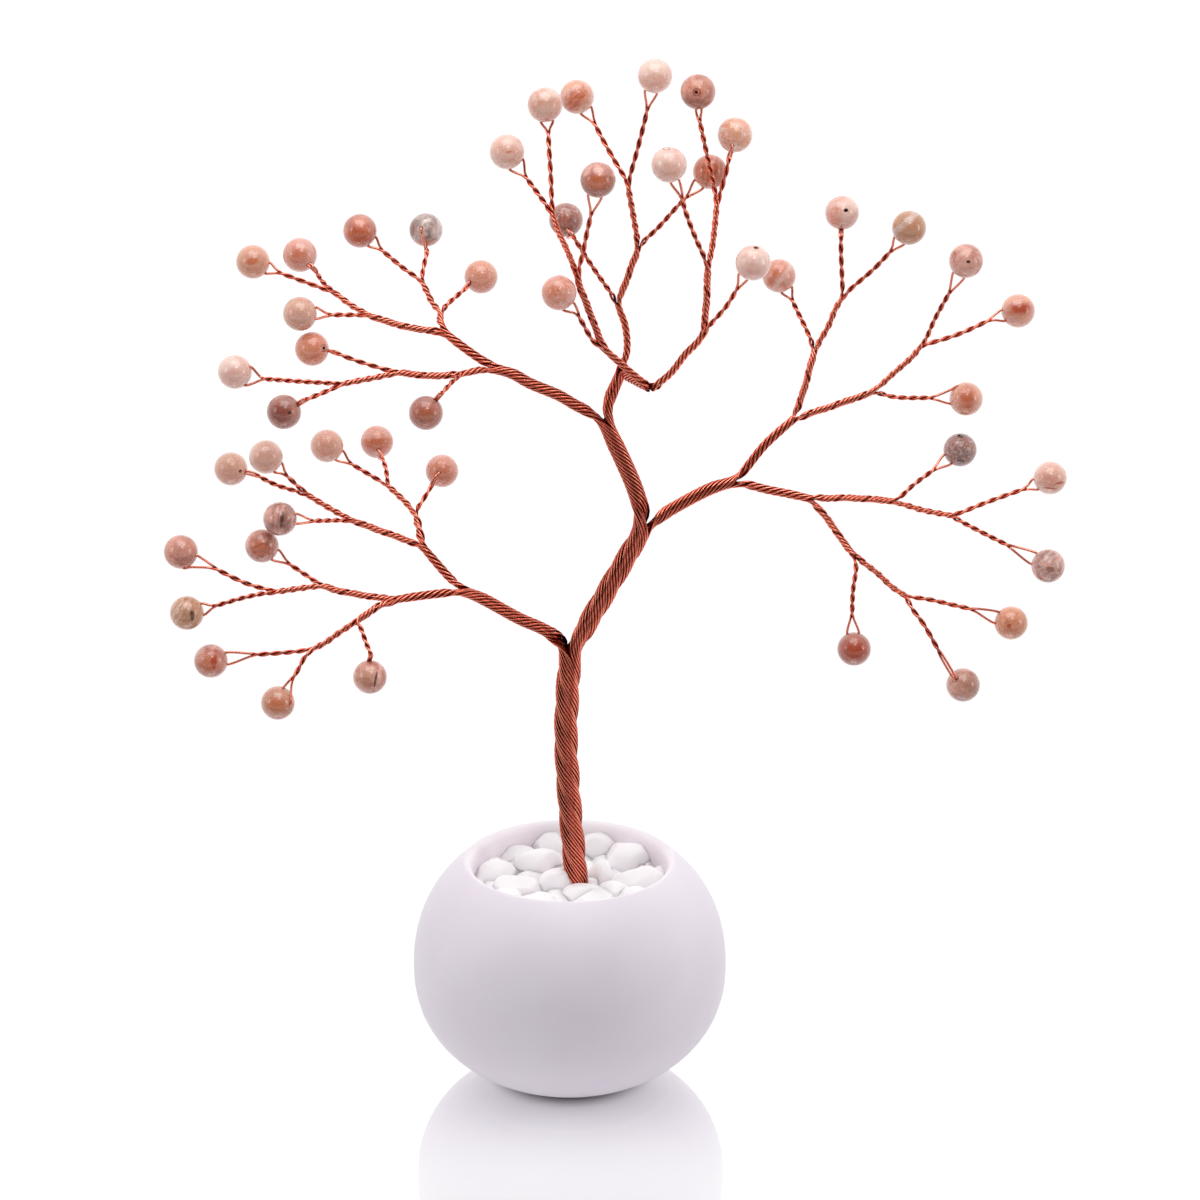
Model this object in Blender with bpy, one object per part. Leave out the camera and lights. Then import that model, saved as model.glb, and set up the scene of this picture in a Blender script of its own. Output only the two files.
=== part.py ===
"""A small tree twisted from copper wire, with a round stone bead on each twig, in a round pot of pebbles.

Metres, +Z up. The origin is the centre of the pot's underside, on the surface that the pot stands on.
"""

import math

import bpy
import bmesh
from mathutils import Matrix, Vector

# Pot
POT_HEIGHT = 0.0568
POT_RADIUS = 0.0388
EQUATOR_HEIGHT = 0.029
FOOT_RADIUS = 0.0135
RIM_OUTER_RADIUS = 0.0283
RIM_WALL = 0.0042
POT_FLOOR = 0.005
BODY_ROUNDNESS = 2.2
POT_SEGMENTS = 20
# Shares of the way up at which the pot's outer and inner profiles are drawn, and the turns round its lip
OUTER_LEVELS = (0.0, 0.04, 0.12, 0.26, 0.45, 0.64, 0.82)
INNER_LEVELS = (1, 0.8, 0.55, 0.3, 0.12, 0)
LIP_TURNS = (0, 50, 90, 130, 180)

# Pebbles
BED_DEPTH_BELOW_RIM = 0.0078
BED_DISH = 0.0012
BED_SEGMENTS = 10
PEBBLE_RISE = 0.1
PEBBLE_FULLNESS = 1.06
PEBBLE_TURN = 35
PEBBLE_LEAN = 12
PEBBLE_LEAN_STEP = 2.4
HOLE_SEGMENTS = 8

# Wires and beads
WIRE_DIAMETER = 0.0005
BEAD_DIAMETER = 0.008
TREE_HEIGHT = 0.1968
BUNDLE_FILL = 0.826
THIN_BUNDLE = 10
THIN_SIDES = 4
THICK_SIDES = 6
BEAD_SEGMENTS = 7
BEAD_LEVELS = (0, 0.25, 0.5, 0.75, 1)
BORE_EASE = 1.2
SHOULDER_TURN = math.radians(52)
SHOULDER_EASE = 1.03
MITRE_LIMIT = 0.35
CLEARANCE = 0.0003
WELD = 0.00001
SMOOTH_BELOW = math.radians(50)

# The pose of the tree is read from one viewpoint: each place is how far across and down it is seen,
# in a square picture PICTURE_SIZE wide, and how far away it lies behind the trunk's own plane.
PICTURE_SIZE = 1200
EYE = Vector((0.0075, -0.7588, 0.3776))
LOOK_DOWN = math.radians(18.47)
LENS = 3336

# Each fork: where it grows from, the bends on the way, and its own place
FOOT = (580, 879, 0.0)
FORKS = {
    "trunk_fork": ("foot", ((575, 862), (573, 842), (571, 819), (568, 781), (566, 737), (567, 703), (569, 673)),
                   (572, 647, 0.0)),
    "main_fork": ("trunk_fork", ((584, 629), (601, 601), (618, 572), (635, 543)), (644, 524, 0.001)),
    "upper_fork": ("main_fork", ((636, 492), (624, 463), (609, 431)), (604, 418, 0.003)),
    # Low bough on the left
    "low_1": ("trunk_fork", ((543, 629), (520, 619), (481, 598)), (463, 591, -0.002)),
    "low_2": ("low_1", ((447, 575),), (422, 546, 0.004)),
    "low_3": ("low_2", ((392, 535), (367, 526)), (351, 520, 0.003)),
    "low_4": ("low_3", ((329, 508),), (306, 494, 0.005)),
    "low_5": ("low_2", ((419, 530),), (414, 512, 0.011)),
    "low_6": ("low_5", ((402, 499),), (387, 485, 0.015)),
    "low_7": ("low_1", ((445, 593), (413, 597)), (394, 600, -0.007)),
    "low_8": ("low_7", ((361, 595), (339, 591)), (321, 586, -0.009)),
    "low_9": ("low_8", ((297, 589),), (276, 592, -0.011)),
    "low_10": ("low_7", ((379, 606),), (356, 622, -0.012)),
    "low_11": ("low_10", ((339, 633), (325, 643)), (311, 650, -0.014)),
    # High bough on the left
    "high_1": ("upper_fork", ((577, 406), (560, 396), (529, 383), (513, 374)), (495, 369, 0.005)),
    "high_2": ("high_1", ((474, 355), (455, 341)), (444, 332, 0.008)),
    "high_3": ("high_2", ((411, 328), (392, 323)), (368, 315, 0.009)),
    "high_4": ("high_3", ((352, 306),), (335, 293, 0.013)),
    "high_5": ("high_2", ((440, 320),), (440, 311, 0.013)),
    "high_6": ("high_5", ((433, 304), (427, 292)), (421, 280, 0.017)),
    "high_7": ("high_1", ((480, 370),), (462, 374, 0.002)),
    "high_8": ("high_7", ((430, 376),), (396, 373, -0.001)),
    "high_9": ("high_8", ((379, 377), (358, 381)), (343, 384, -0.004)),
    # Crown, its back half
    "crown": ("upper_fork", ((610, 398),), (621, 373, 0.005)),
    "back_1": ("crown", ((627, 350), (625, 325)), (618, 303, 0.008)),
    "back_2": ("back_1", ((624, 287), (631, 268)), (638, 246, 0.009)),
    "back_3": ("back_2", ((633, 214), (629, 192)), (628, 183, 0.011)),
    # Crown, its front half
    "front_1": ("crown", (), (651, 389, -0.010)),
    "front_2": ("front_1", ((635, 376), (620, 363)), (605, 349, -0.012)),
    "front_3": ("front_2", ((599, 337), (590, 313), (580, 287)), (577, 275, -0.012)),
    "front_4": ("front_3", ((566, 248), (558, 231)), (552, 213, -0.008)),
    "front_5": ("front_1", ((670, 374), (685, 355)), (703, 334, -0.015)),
    "front_6": ("front_5", ((707, 292),), (708, 265, -0.013)),
    "front_7": ("front_6", ((712, 248), (715, 224)), (717, 202, -0.009)),
    # Right bough
    "right_1": ("main_fork", ((665, 513), (690, 499), (715, 487)), (737, 481, 0.004)),
    "right_2": ("right_1", ((748, 466), (764, 446), (781, 430)), (794, 419, 0.008)),
    "right_3": ("right_2", ((805, 386), (812, 360)), (815, 349, 0.013)),
    "right_4": ("right_3", ((828, 327), (836, 308)), (843, 297, 0.015)),
    "right_5": ("right_2", ((812, 413), (836, 405), (853, 399)), (874, 391, 0.009)),
    "right_6": ("right_5", ((894, 373), (912, 357)), (921, 346, 0.011)),
    "right_7": ("right_1", ((764, 489), (789, 494)), (811, 499, 0.0)),
    "right_8": ("right_7", ((843, 498), (867, 499)), (896, 502, 0.004)),
    "right_9": ("right_8", ((922, 510),), (953, 516, 0.005)),
    "right_10": ("right_7", ((831, 524), (844, 543)), (856, 557, -0.006)),
    "right_11": ("right_10", ((877, 573), (892, 587)), (907, 597, -0.007)),
}

# Each bead: the fork of its twig, the bends on the way, where the twist ends, and the bead's centre
BEADS = (
    ("back_3", ((636, 155), (645, 120)), (648, 106, 0.010), (655, 76, 0.010)),
    ("front_7", ((715, 192), (709, 164), (703, 137)), (699, 118, -0.005), (698, 92, -0.004)),
    ("front_4", ((551, 181), (549, 148)), (548, 130, 0.0), (545, 105, 0.001)),
    ("back_3", ((620, 170), (605, 144)), (593, 121, 0.018), (577, 97, 0.019)),
    ("front_4", (), (524, 175, -0.004), (507, 152, -0.003)),
    ("front_7", ((722, 187), (727, 168)), (729, 158, -0.007), (735, 135, -0.003)),
    ("front_6", ((696, 239), (686, 213)), (681, 195, -0.017), (669, 165, -0.017)),
    ("back_2", ((657, 229), (678, 206)), (689, 195, 0.006), (710, 172, 0.007)),
    ("front_3", ((582, 257), (587, 233)), (592, 211, -0.016), (598, 180, -0.017)),
    ("back_1", ((596, 272), (579, 246)), (573, 236, 0.008), (566, 220, 0.013)),
    ("front_2", ((594, 342), (583, 324)), (577, 313, -0.014), (559, 293, -0.014)),
    ("front_5", ((711, 324), (726, 307)), (739, 286, -0.021), (753, 263, -0.022)),
    ("right_3", ((805, 327), (797, 311)), (791, 298, 0.019), (779, 276, 0.020)),
    ("right_4", ((842, 276), (841, 252)), (841, 236, 0.014), (842, 213, 0.018)),
    ("right_4", ((852, 288), (875, 268)), (893, 249, 0.012), (909, 228, 0.011)),
    ("right_6", ((925, 341), (935, 319)), (951, 290, 0.007), (966, 261, 0.006)),
    ("right_6", ((959, 334),), (992, 319, 0.017), (1018, 311, 0.019)),
    ("right_5", ((894, 397),), (934, 398, 0.011), (966, 399, 0.012)),
    ("right_8", ((911, 487),), (936, 468, 0.010), (960, 450, 0.013)),
    ("right_9", ((985, 503),), (1027, 488, 0.012), (1050, 478, 0.013)),
    ("right_9", ((960, 521), (977, 530)), (1011, 547, -0.001), (1048, 566, -0.003)),
    ("right_11", ((926, 599), (953, 605)), (975, 610, -0.004), (1011, 623, -0.003)),
    ("right_11", ((911, 607), (924, 625)), (941, 655, -0.014), (963, 685, -0.012)),
    ("right_10", ((856, 570), (853, 590)), (852, 618, -0.010), (854, 649, -0.011)),
    ("high_4", ((310, 284),), (277, 272, 0.017), (253, 262, 0.018)),
    ("high_4", ((323, 282),), (316, 271, 0.006), (300, 255, 0.009)),
    ("high_6", ((407, 271),), (379, 248, 0.019), (360, 231, 0.020)),
    ("high_6", ((424, 265),), (427, 252, 0.023), (426, 230, 0.027)),
    ("high_5", ((451, 301),), (465, 289, 0.019), (481, 277, 0.024)),
    ("high_3", ((354, 315),), (327, 315, 0.005), (300, 314, 0.004)),
    ("high_8", ((373, 366), (354, 360)), (336, 353, 0.001), (312, 349, 0.004)),
    ("high_9", ((306, 382), (277, 380)), (261, 379, 0.001), (235, 372, 0.002)),
    ("high_9", ((325, 392),), (305, 400, -0.012), (284, 412, -0.010)),
    ("high_7", ((453, 381),), (441, 394, -0.009), (426, 413, -0.007)),
    ("low_4", ((276, 485),), (256, 475, 0.009), (231, 469, 0.011)),
    ("low_4", (), (284, 473, 0.002), (266, 457, 0.002)),
    ("low_6", ((368, 474),), (348, 462, 0.018), (327, 446, 0.019)),
    ("low_6", ((386, 470),), (382, 458, 0.022), (377, 442, 0.027)),
    ("low_5", ((421, 503),), (431, 487, 0.017), (442, 471, 0.022)),
    ("low_3", (), (310, 521, -0.004), (280, 519, -0.005)),
    ("low_8", ((310, 578),), (286, 562, -0.004), (262, 546, -0.003)),
    ("low_9", ((245, 583),), (212, 567, -0.009), (181, 552, -0.009)),
    ("low_9", ((261, 594), (243, 598)), (212, 607, -0.015), (187, 613, -0.015)),
    ("low_11", ((282, 653),), (251, 655, -0.013), (211, 661, -0.013)),
    ("low_11", ((305, 657), (298, 670)), (291, 681, -0.018), (278, 703, -0.018)),
    ("low_10", ((361, 629), (366, 643)), (371, 655, -0.020), (370, 677, -0.018)),
)

# Stones that stand proud of the bed: seen across and down, and their breadth, depth and height
PEBBLES = (
    ((509, 854), (0.0105, 0.0080, 0.0070)),
    ((494, 876), (0.0098, 0.0085, 0.0072)),
    ((517, 888), (0.0100, 0.0075, 0.0066)),
    ((549, 848), (0.0092, 0.0090, 0.0085)),
    ((538, 868), (0.0100, 0.0085, 0.0072)),
    ((556, 887), (0.0084, 0.0080, 0.0086)),
    ((585, 896), (0.0108, 0.0075, 0.0060)),
    ((597, 850), (0.0088, 0.0088, 0.0080)),
    ((632, 862), (0.0128, 0.0098, 0.0088)),
    ((601, 874), (0.0066, 0.0075, 0.0072)),
    ((636, 883), (0.0118, 0.0080, 0.0066)),
    ((612, 893), (0.0072, 0.0070, 0.0062)),
    ((570, 840), (0.0090, 0.0080, 0.0068)),
)
# Stones that the near rim hides: right and away from the pot's axis, and the same sizes
HIDDEN_PEBBLES = (
    ((-0.016, -0.010), (0.0095, 0.0080, 0.0066)),
    ((-0.007, -0.013), (0.0088, 0.0092, 0.0070)),
    ((0.006, -0.011), (0.0100, 0.0078, 0.0064)),
    ((0.016, -0.009), (0.0084, 0.0090, 0.0070)),
    ((-0.001, -0.019), (0.0094, 0.0076, 0.0066)),
)

COLOURS = {
    "ceramic": ((0.83, 0.79, 0.83, 1), 0.45, 0.0),
    "pebble": ((0.88, 0.87, 0.88, 1), 0.5, 0.0),
    "copper": ((0.55, 0.17, 0.09, 1), 0.32, 1.0),
    "stone_pale": ((0.80, 0.56, 0.49, 1), 0.22, 0.0),
    "stone_orange": ((0.70, 0.36, 0.22, 1), 0.22, 0.0),
    "stone_grey": ((0.47, 0.33, 0.31, 1), 0.22, 0.0),
}
ORANGE_BEADS = (4, 8, 9, 17, 25, 31, 38, 39, 41, 45)
GREY_BEADS = (10, 19, 23, 24, 28, 33, 34)


def clear_scene():
    for thing in list(bpy.data.objects):
        bpy.data.objects.remove(thing, do_unlink=True)


def finish_of(name):
    colour, roughness, metallic = COLOURS[name]
    finish = bpy.data.materials.get(name) or bpy.data.materials.new(name)
    finish.use_nodes = True
    shader = finish.node_tree.nodes["Principled BSDF"]
    shader.inputs["Base Color"].default_value = colour
    shader.inputs["Roughness"].default_value = roughness
    shader.inputs["Metallic"].default_value = metallic
    return finish


def add_object(name, shape, finish, helper=False):
    """One named object from a bmesh, with its finish."""
    bmesh.ops.recalc_face_normals(shape, faces=shape.faces)
    mesh = bpy.data.meshes.new(name)
    shape.to_mesh(mesh)
    shape.free()
    mesh.materials.append(finish_of(finish))
    mesh.shade_smooth()
    mesh.set_sharp_from_angle(angle=SMOOTH_BELOW)
    thing = bpy.data.objects.new(name, mesh)
    bpy.context.scene.collection.objects.link(thing)
    if helper:
        thing.hide_render = True
        thing.display_type = "WIRE"
    return thing


def combine(thing, other, operation, with_itself=False):
    change = thing.modifiers.new(operation.title(), "BOOLEAN")
    change.operation = operation
    change.object = other
    change.solver = "EXACT"
    change.use_self = with_itself


def seen_at(across, down, away):
    """The point seen at a place in the picture, in the plane that lies `away` behind the trunk."""
    right = (across - PICTURE_SIZE / 2) / LENS
    up = (PICTURE_SIZE / 2 - down) / LENS
    sight = Vector((
        right,
        math.cos(LOOK_DOWN) + up * math.sin(LOOK_DOWN),
        up * math.cos(LOOK_DOWN) - math.sin(LOOK_DOWN),
    ))
    return EYE + sight * ((away - EYE.y) / sight.y)


def tree_place(across, down, away):
    """A place on the tree, once it is as high as it should be from its foot to its top bead's middle."""
    _, _, _, top = BEADS[0]
    return seen_at(across, down, away) * (TREE_HEIGHT / (seen_at(*top).z - seen_at(*FOOT).z))


def route(start, bends, end):
    """Points from one place to another past the bends between, with the depth shared out evenly."""
    steps = len(bends) + 1
    middle = [
        tree_place(across, down, start[2] + (end[2] - start[2]) * step / steps)
        for step, (across, down) in enumerate(bends, 1)
    ]
    return [tree_place(*start), *middle, tree_place(*end)]


def bundle_radius(wires):
    """Outer radius of that many wires twisted together."""
    return WIRE_DIAMETER / 2 * math.sqrt(wires / BUNDLE_FILL)


def sides_of(wires):
    if wires <= THIN_BUNDLE:
        return THIN_SIDES
    return THICK_SIDES


def add_tube(shape, points, radii, sides):
    """Sweep a regular polygon along the points, mitred where they bend, with its ends closed."""
    ways = [(after - before).normalized() for before, after in zip(points, points[1:])]
    across = ways[0].orthogonal().normalized()
    rings = []
    for index, point in enumerate(points):
        inward = ways[max(index - 1, 0)]
        outward = ways[min(index, len(ways) - 1)]
        mitre = (inward + outward).normalized()
        sideways = inward.cross(across)
        ring = []
        for side in range(sides):
            angle = 2 * math.pi * side / sides
            spoke = (across * math.cos(angle) + sideways * math.sin(angle)) * radii[index]
            spoke -= inward * (spoke.dot(mitre) / max(inward.dot(mitre), MITRE_LIMIT))
            ring.append(shape.verts.new(point + spoke))
        rings.append(ring)
        across = inward.rotation_difference(outward) @ across
    for first, second in zip(rings, rings[1:]):
        for side in range(sides):
            following = (side + 1) % sides
            shape.faces.new((first[side], first[following], second[following], second[side]))
    shape.faces.new(rings[0])
    shape.faces.new(rings[-1])


def wires_through():
    """How many wires run through each fork: two for each bead beyond it."""
    wires = {name: 0 for name in FORKS}
    for fork, _, _, _ in BEADS:
        while fork != "foot":
            wires[fork] += 2
            fork = FORKS[fork][0]
    return wires


def turned(profile, segments):
    """A solid turned about +Z from a profile of (radius, height) points that starts and ends on the axis."""
    shape = bmesh.new()
    verts = [shape.verts.new((radius, 0, height)) for radius, height in profile]
    edges = [shape.edges.new(pair) for pair in zip(verts, verts[1:])]
    bmesh.ops.spin(
        shape, geom=verts + edges, cent=(0, 0, 0), axis=(0, 0, 1), angle=2 * math.pi,
        steps=segments, use_merge=True,
    )
    bmesh.ops.remove_doubles(shape, verts=shape.verts, dist=WELD)
    return shape


def ring_turned(profile, segments):
    """A solid with a bore, turned about +Z from the outer profile between the bore's two mouths."""
    shape = bmesh.new()
    rings = []
    for radius, height in profile:
        rings.append([
            shape.verts.new((radius * math.cos(turn), radius * math.sin(turn), height))
            for turn in (2 * math.pi * step / segments for step in range(segments))
        ])
    for upper, lower in zip(rings, rings[1:] + rings[:1]):
        for step in range(segments):
            following = (step + 1) % segments
            shape.faces.new((upper[step], lower[step], lower[following], upper[following]))
    return shape


def body_radius(height):
    """The pot's outer radius at a height: a rounded oval, fuller than an ellipse, cut at foot and rim."""
    if height < EQUATOR_HEIGHT:
        end_radius, reach = FOOT_RADIUS, EQUATOR_HEIGHT
    else:
        end_radius, reach = RIM_OUTER_RADIUS, POT_HEIGHT - RIM_WALL / 2 - EQUATOR_HEIGHT
    power = BODY_ROUNDNESS
    fall = (1 - (end_radius / POT_RADIUS) ** power) * (abs(height - EQUATOR_HEIGHT) / reach) ** power
    return POT_RADIUS * (1 - fall) ** (1 / power)


def inner_wall():
    """The pot's inner profile, one wall inside the body, from the rim down to the floor."""
    height = POT_HEIGHT - RIM_WALL / 2 - POT_FLOOR
    levels = [POT_FLOOR + height * share for share in INNER_LEVELS]
    return [(body_radius(level) - RIM_WALL, level) for level in levels]


def room_at(height):
    """The radius that is free inside the pot at a height, between its flat facets."""
    wall = inner_wall()
    for (upper_radius, upper), (lower_radius, lower) in zip(wall, wall[1:]):
        if height >= lower:
            share = (height - lower) / (upper - lower)
            radius = lower_radius + (upper_radius - lower_radius) * share
            return radius * math.cos(math.pi / POT_SEGMENTS) - CLEARANCE
    return 0.0


def make_pot():
    shoulder = POT_HEIGHT - RIM_WALL / 2
    outer = [(body_radius(shoulder * share), shoulder * share) for share in OUTER_LEVELS]
    round_off = RIM_WALL / 2
    lip = [
        (
            RIM_OUTER_RADIUS - round_off + round_off * math.cos(math.radians(turn)),
            shoulder + round_off * math.sin(math.radians(turn)),
        )
        for turn in LIP_TURNS
    ]
    profile = [(0, 0), *outer, *lip, *inner_wall()[1:], (0, POT_FLOOR)]
    return add_object("pot", turned(profile, POT_SEGMENTS), "ceramic")


def bed_point(seen, height):
    """The point at a height on the line of sight through a seen place."""
    sight = (seen - EYE).normalized()
    return EYE + sight * ((height - EYE.z) / sight.z)


def make_pebbles(trunk_radius):
    """The fill of stones: one bed up to just below the rim, with its top stones standing proud."""
    top = POT_HEIGHT - BED_DEPTH_BELOW_RIM
    bottom = POT_FLOOR + CLEARANCE
    levels = [bottom, *sorted(level for _, level in inner_wall() if bottom < level < top), top]
    side = [(room_at(level), level) for level in levels]
    bed = add_object("pebbles", turned([(0, bottom), *side, (0, top - BED_DISH)], BED_SEGMENTS), "pebble")
    stones = bmesh.new()
    placed = [(bed_point(seen_at(*place, 0), top + size[2] * PEBBLE_RISE), size) for place, size in PEBBLES]
    placed += [(Vector((*place, top + size[2] * PEBBLE_RISE)), size) for place, size in HIDDEN_PEBBLES]
    for number, (centre, (breadth, depth, height)) in enumerate(placed):
        reach = room_at(POT_HEIGHT - RIM_WALL / 2) - PEBBLE_FULLNESS * max(breadth, depth) / 2
        flat = Vector((centre.x, centre.y, 0))
        if flat.length > reach:
            centre -= flat.normalized() * (flat.length - reach)
        turn = Matrix.Rotation(math.radians(PEBBLE_TURN * number), 4, "Z")
        size = Matrix.Diagonal((breadth / 2, depth / 2, height / 2, 1))
        lean = Matrix.Rotation(math.radians(PEBBLE_LEAN * math.sin(PEBBLE_LEAN_STEP * number)), 4, "Y")
        place = Matrix.Translation(centre) @ lean @ size @ turn
        bmesh.ops.create_icosphere(stones, subdivisions=1, radius=PEBBLE_FULLNESS, matrix=place)
    heap = add_object("pebble_heap", stones, "pebble", helper=True)
    combine(bed, heap, "UNION", with_itself=True)
    hole = bmesh.new()
    foot = tree_place(*FOOT)
    hole_radius = trunk_radius + 2 * CLEARANCE
    bmesh.ops.create_cone(
        hole, cap_ends=True, segments=HOLE_SEGMENTS, radius1=hole_radius, radius2=hole_radius,
        depth=2 * POT_HEIGHT, matrix=Matrix.Translation((foot.x, foot.y, POT_HEIGHT / 2)),
    )
    combine(bed, add_object("trunk_hole", hole, "pebble", helper=True), "DIFFERENCE")


def bore_axis(twist_end, centre):
    """Unit vectors from a bead's middle to the end of its twist, and along its bore."""
    to_twist = (twist_end - centre).normalized()
    sight = (centre - EYE).normalized()
    return to_twist, to_twist.cross(sight).normalized()


def make_bead(number, twist_end, centre):
    """A round bead, turned about the bore that is drilled through its middle."""
    radius = BEAD_DIAMETER / 2
    bore = (WIRE_DIAMETER / 2 + CLEARANCE) * BORE_EASE
    mouth = math.asin(bore / radius)
    turns = [mouth + (math.pi - 2 * mouth) * share for share in BEAD_LEVELS]
    outline = [(radius * math.sin(turn), radius * math.cos(turn)) for turn in turns]
    _, along = bore_axis(twist_end, centre)
    turned_round = along.to_track_quat("Z", "Y").to_matrix().to_4x4()
    ball = ring_turned(outline, BEAD_SEGMENTS)
    bmesh.ops.transform(ball, matrix=Matrix.Translation(centre) @ turned_round, verts=ball.verts)
    finish = "stone_orange" if number in ORANGE_BEADS else "stone_grey" if number in GREY_BEADS else "stone_pale"
    add_object(f"bead_{number:02d}", ball, finish)


def loop_round(twist_end, centre):
    """The wire's way from the end of its twist, round the bead, through its bore and back."""
    to_twist, along = bore_axis(twist_end, centre)
    clear = BEAD_DIAMETER / 2 + CLEARANCE + WIRE_DIAMETER
    shoulder = (to_twist * math.cos(SHOULDER_TURN) + along * math.sin(SHOULDER_TURN)) * clear * SHOULDER_EASE
    other = (to_twist * math.cos(SHOULDER_TURN) - along * math.sin(SHOULDER_TURN)) * clear * SHOULDER_EASE
    return [centre + shoulder, centre + along * clear, centre - along * clear, centre + other]


def branches_of():
    """What grows from each fork, the thickest first: fork names, and bead numbers for twigs."""
    wires = wires_through()
    branches = {name: [] for name in ["foot", *FORKS]}
    for name, (parent, _, _) in FORKS.items():
        branches[parent].append(name)
    for number, (parent, _, _, _) in enumerate(BEADS, 1):
        branches[parent].append(number)
    for grown in branches.values():
        grown.sort(key=lambda branch: -wires.get(branch, 2))
    return branches, wires


def make_wires():
    """Every wire, fused: the trunk, the boughs, the twigs, and the loop that holds each bead."""
    branches, wires = branches_of()
    foot = tree_place(*FOOT)
    root = Vector((foot.x, foot.y, POT_FLOOR + CLEARANCE))
    trunk = bmesh.new()
    twigs = bmesh.new()
    # Each limb that waits: the fork that it leaves, its first branch, the points before it, and its shape
    waiting = [("foot", branches["foot"][0], [root], trunk)]
    while waiting:
        fork, branch, points, shape = waiting.pop(0)
        start = FOOT if fork == "foot" else FORKS[fork][2]
        sides = sides_of(wires.get(branch, 2))
        radii = [bundle_radius(wires.get(branch, 2))] * (len(points) + 1)
        points.append(tree_place(*start))
        while branch in FORKS:
            _, bends, place = FORKS[branch]
            stretch = route(start, bends, place)[1:]
            points += stretch
            radii += [bundle_radius(wires[branch])] * len(stretch)
            start = place
            first, *others = branches[branch]
            waiting += [(branch, other, [], twigs) for other in others]
            if sides_of(wires.get(first, 2)) == sides:
                branch = first
            else:
                waiting.append((branch, first, [], twigs))
                branch = None
                points.append(points[-1] + (points[-1] - points[-2]).normalized() * WIRE_DIAMETER)
                radii.append(radii[-1])
        if branch is not None:
            _, bends, twist_end, centre = BEADS[branch - 1]
            stretch = route(start, bends, twist_end)[1:]
            points += stretch
            radii += [bundle_radius(2)] * len(stretch)
            middle = tree_place(*centre)
            make_bead(branch, points[-1], middle)
            loop = loop_round(points[-1], middle)
            points += [*loop, points[-1] + (points[-2] - points[-1]).normalized() * WIRE_DIAMETER]
            radii += [WIRE_DIAMETER / 2] * (len(loop) + 1)
        add_tube(shape, points, radii, sides)
    tree = add_object("wire_tree", trunk, "copper")
    combine(tree, add_object("twigs", twigs, "copper", helper=True), "UNION", with_itself=True)


def main():
    clear_scene()
    make_pot()
    make_pebbles(bundle_radius(wires_through()["trunk_fork"]))
    make_wires()


main()
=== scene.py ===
"""Looks of a small tree: twisted copper wires, polished stone beads, white pebbles and a round white pot.

Everything is in metres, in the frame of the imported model. Wires, beads and pebbles stand at places that
are read from the one viewpoint below, as the solids they stand for do. Only the trunk's foot is set a
millimetre further left than the solid's.
"""

import math

import bpy
import numpy as np
from mathutils import Matrix, Vector


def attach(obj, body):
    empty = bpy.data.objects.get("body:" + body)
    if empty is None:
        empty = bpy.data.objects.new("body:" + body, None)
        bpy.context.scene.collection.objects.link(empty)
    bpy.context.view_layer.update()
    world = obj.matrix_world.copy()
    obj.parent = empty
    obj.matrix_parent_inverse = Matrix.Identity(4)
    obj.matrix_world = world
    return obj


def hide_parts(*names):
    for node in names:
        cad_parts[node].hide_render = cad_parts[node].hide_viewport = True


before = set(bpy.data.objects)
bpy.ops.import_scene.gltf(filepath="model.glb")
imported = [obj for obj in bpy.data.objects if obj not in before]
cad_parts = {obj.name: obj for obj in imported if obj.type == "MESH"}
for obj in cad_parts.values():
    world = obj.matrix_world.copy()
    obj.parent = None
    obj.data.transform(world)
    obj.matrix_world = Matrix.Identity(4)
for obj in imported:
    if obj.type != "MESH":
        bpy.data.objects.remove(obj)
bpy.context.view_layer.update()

# Sizes
WIRE_RADIUS = 0.00032
BEAD_RADIUS = 0.004
TREE_HEIGHT = 0.1968
POT_HEIGHT = 0.0568
POT_RADIUS = 0.0388
EQUATOR_HEIGHT = 0.029
FOOT_RADIUS = 0.0135
RIM_OUTER_RADIUS = 0.0283
RIM_WALL = 0.0042
POT_FLOOR = 0.005
BODY_ROUNDNESS = 2.2
BED_TOP = 0.049

# Viewpoint: places are seen across and down in a square picture, and how far they lie behind the trunk
PICTURE_SIZE = 1200
EYE = Vector((0.0075, -0.7588, 0.3776))
LOOK_DOWN = math.radians(18.47)
LENS = 3336
SENSOR_MM = 36

# Twist of the wires: how far the outer ones lean from the length, and how much twigs differ in it
TWIG_LAY = math.radians(20)
TRUNK_LAY = math.radians(32)
UNEVEN_TWIST = 0.14
STRANDS = 92
# How full a bundle is, how far its wires bed into each other, and how they are pulled and pushed together
PACKING = 0.826
SNUG = 0.89
PULLS = [0.03] * 60 + [0.01] * 60 + [0.0] * 40
PUSH = 0.35
# Up to so many wires a bundle has no outer ring. The ring's breadth is in wire radii
FEW_WIRES = 6
RING_BREADTH = 1.7
LOBE_DEPTH = 0.24
LOBE_EDGE = 1.3
# A bough leads straight on into a branch that is so many times heavier than the next
HEAVIER = 1.5
# How far along a limb its wires come over from the limb below: in radii of that limb, and at least
BLEND_RADII = 2.2
BLEND_LEAST = 0.0012
# How the bends at forks and at the feet of the legs are eased: points to either side, and times
FORK_EASE = (4, 5)
LEG_EASE = (3, 3)
# Mesh of a wire, and how the painted shade in the gaps between wires fades in a thin bundle: its reach in
# wire radii
WIRE_SIDES = 8
CAP_RINGS = 2
FULL_PAINTED_SHADE = 3.5
LEAST_PAINTED_SHADE = 0.32
STEPS_A_TURN = 14
LONGEST_STEP = 0.0015
LEG_STEP = 0.00035

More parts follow.
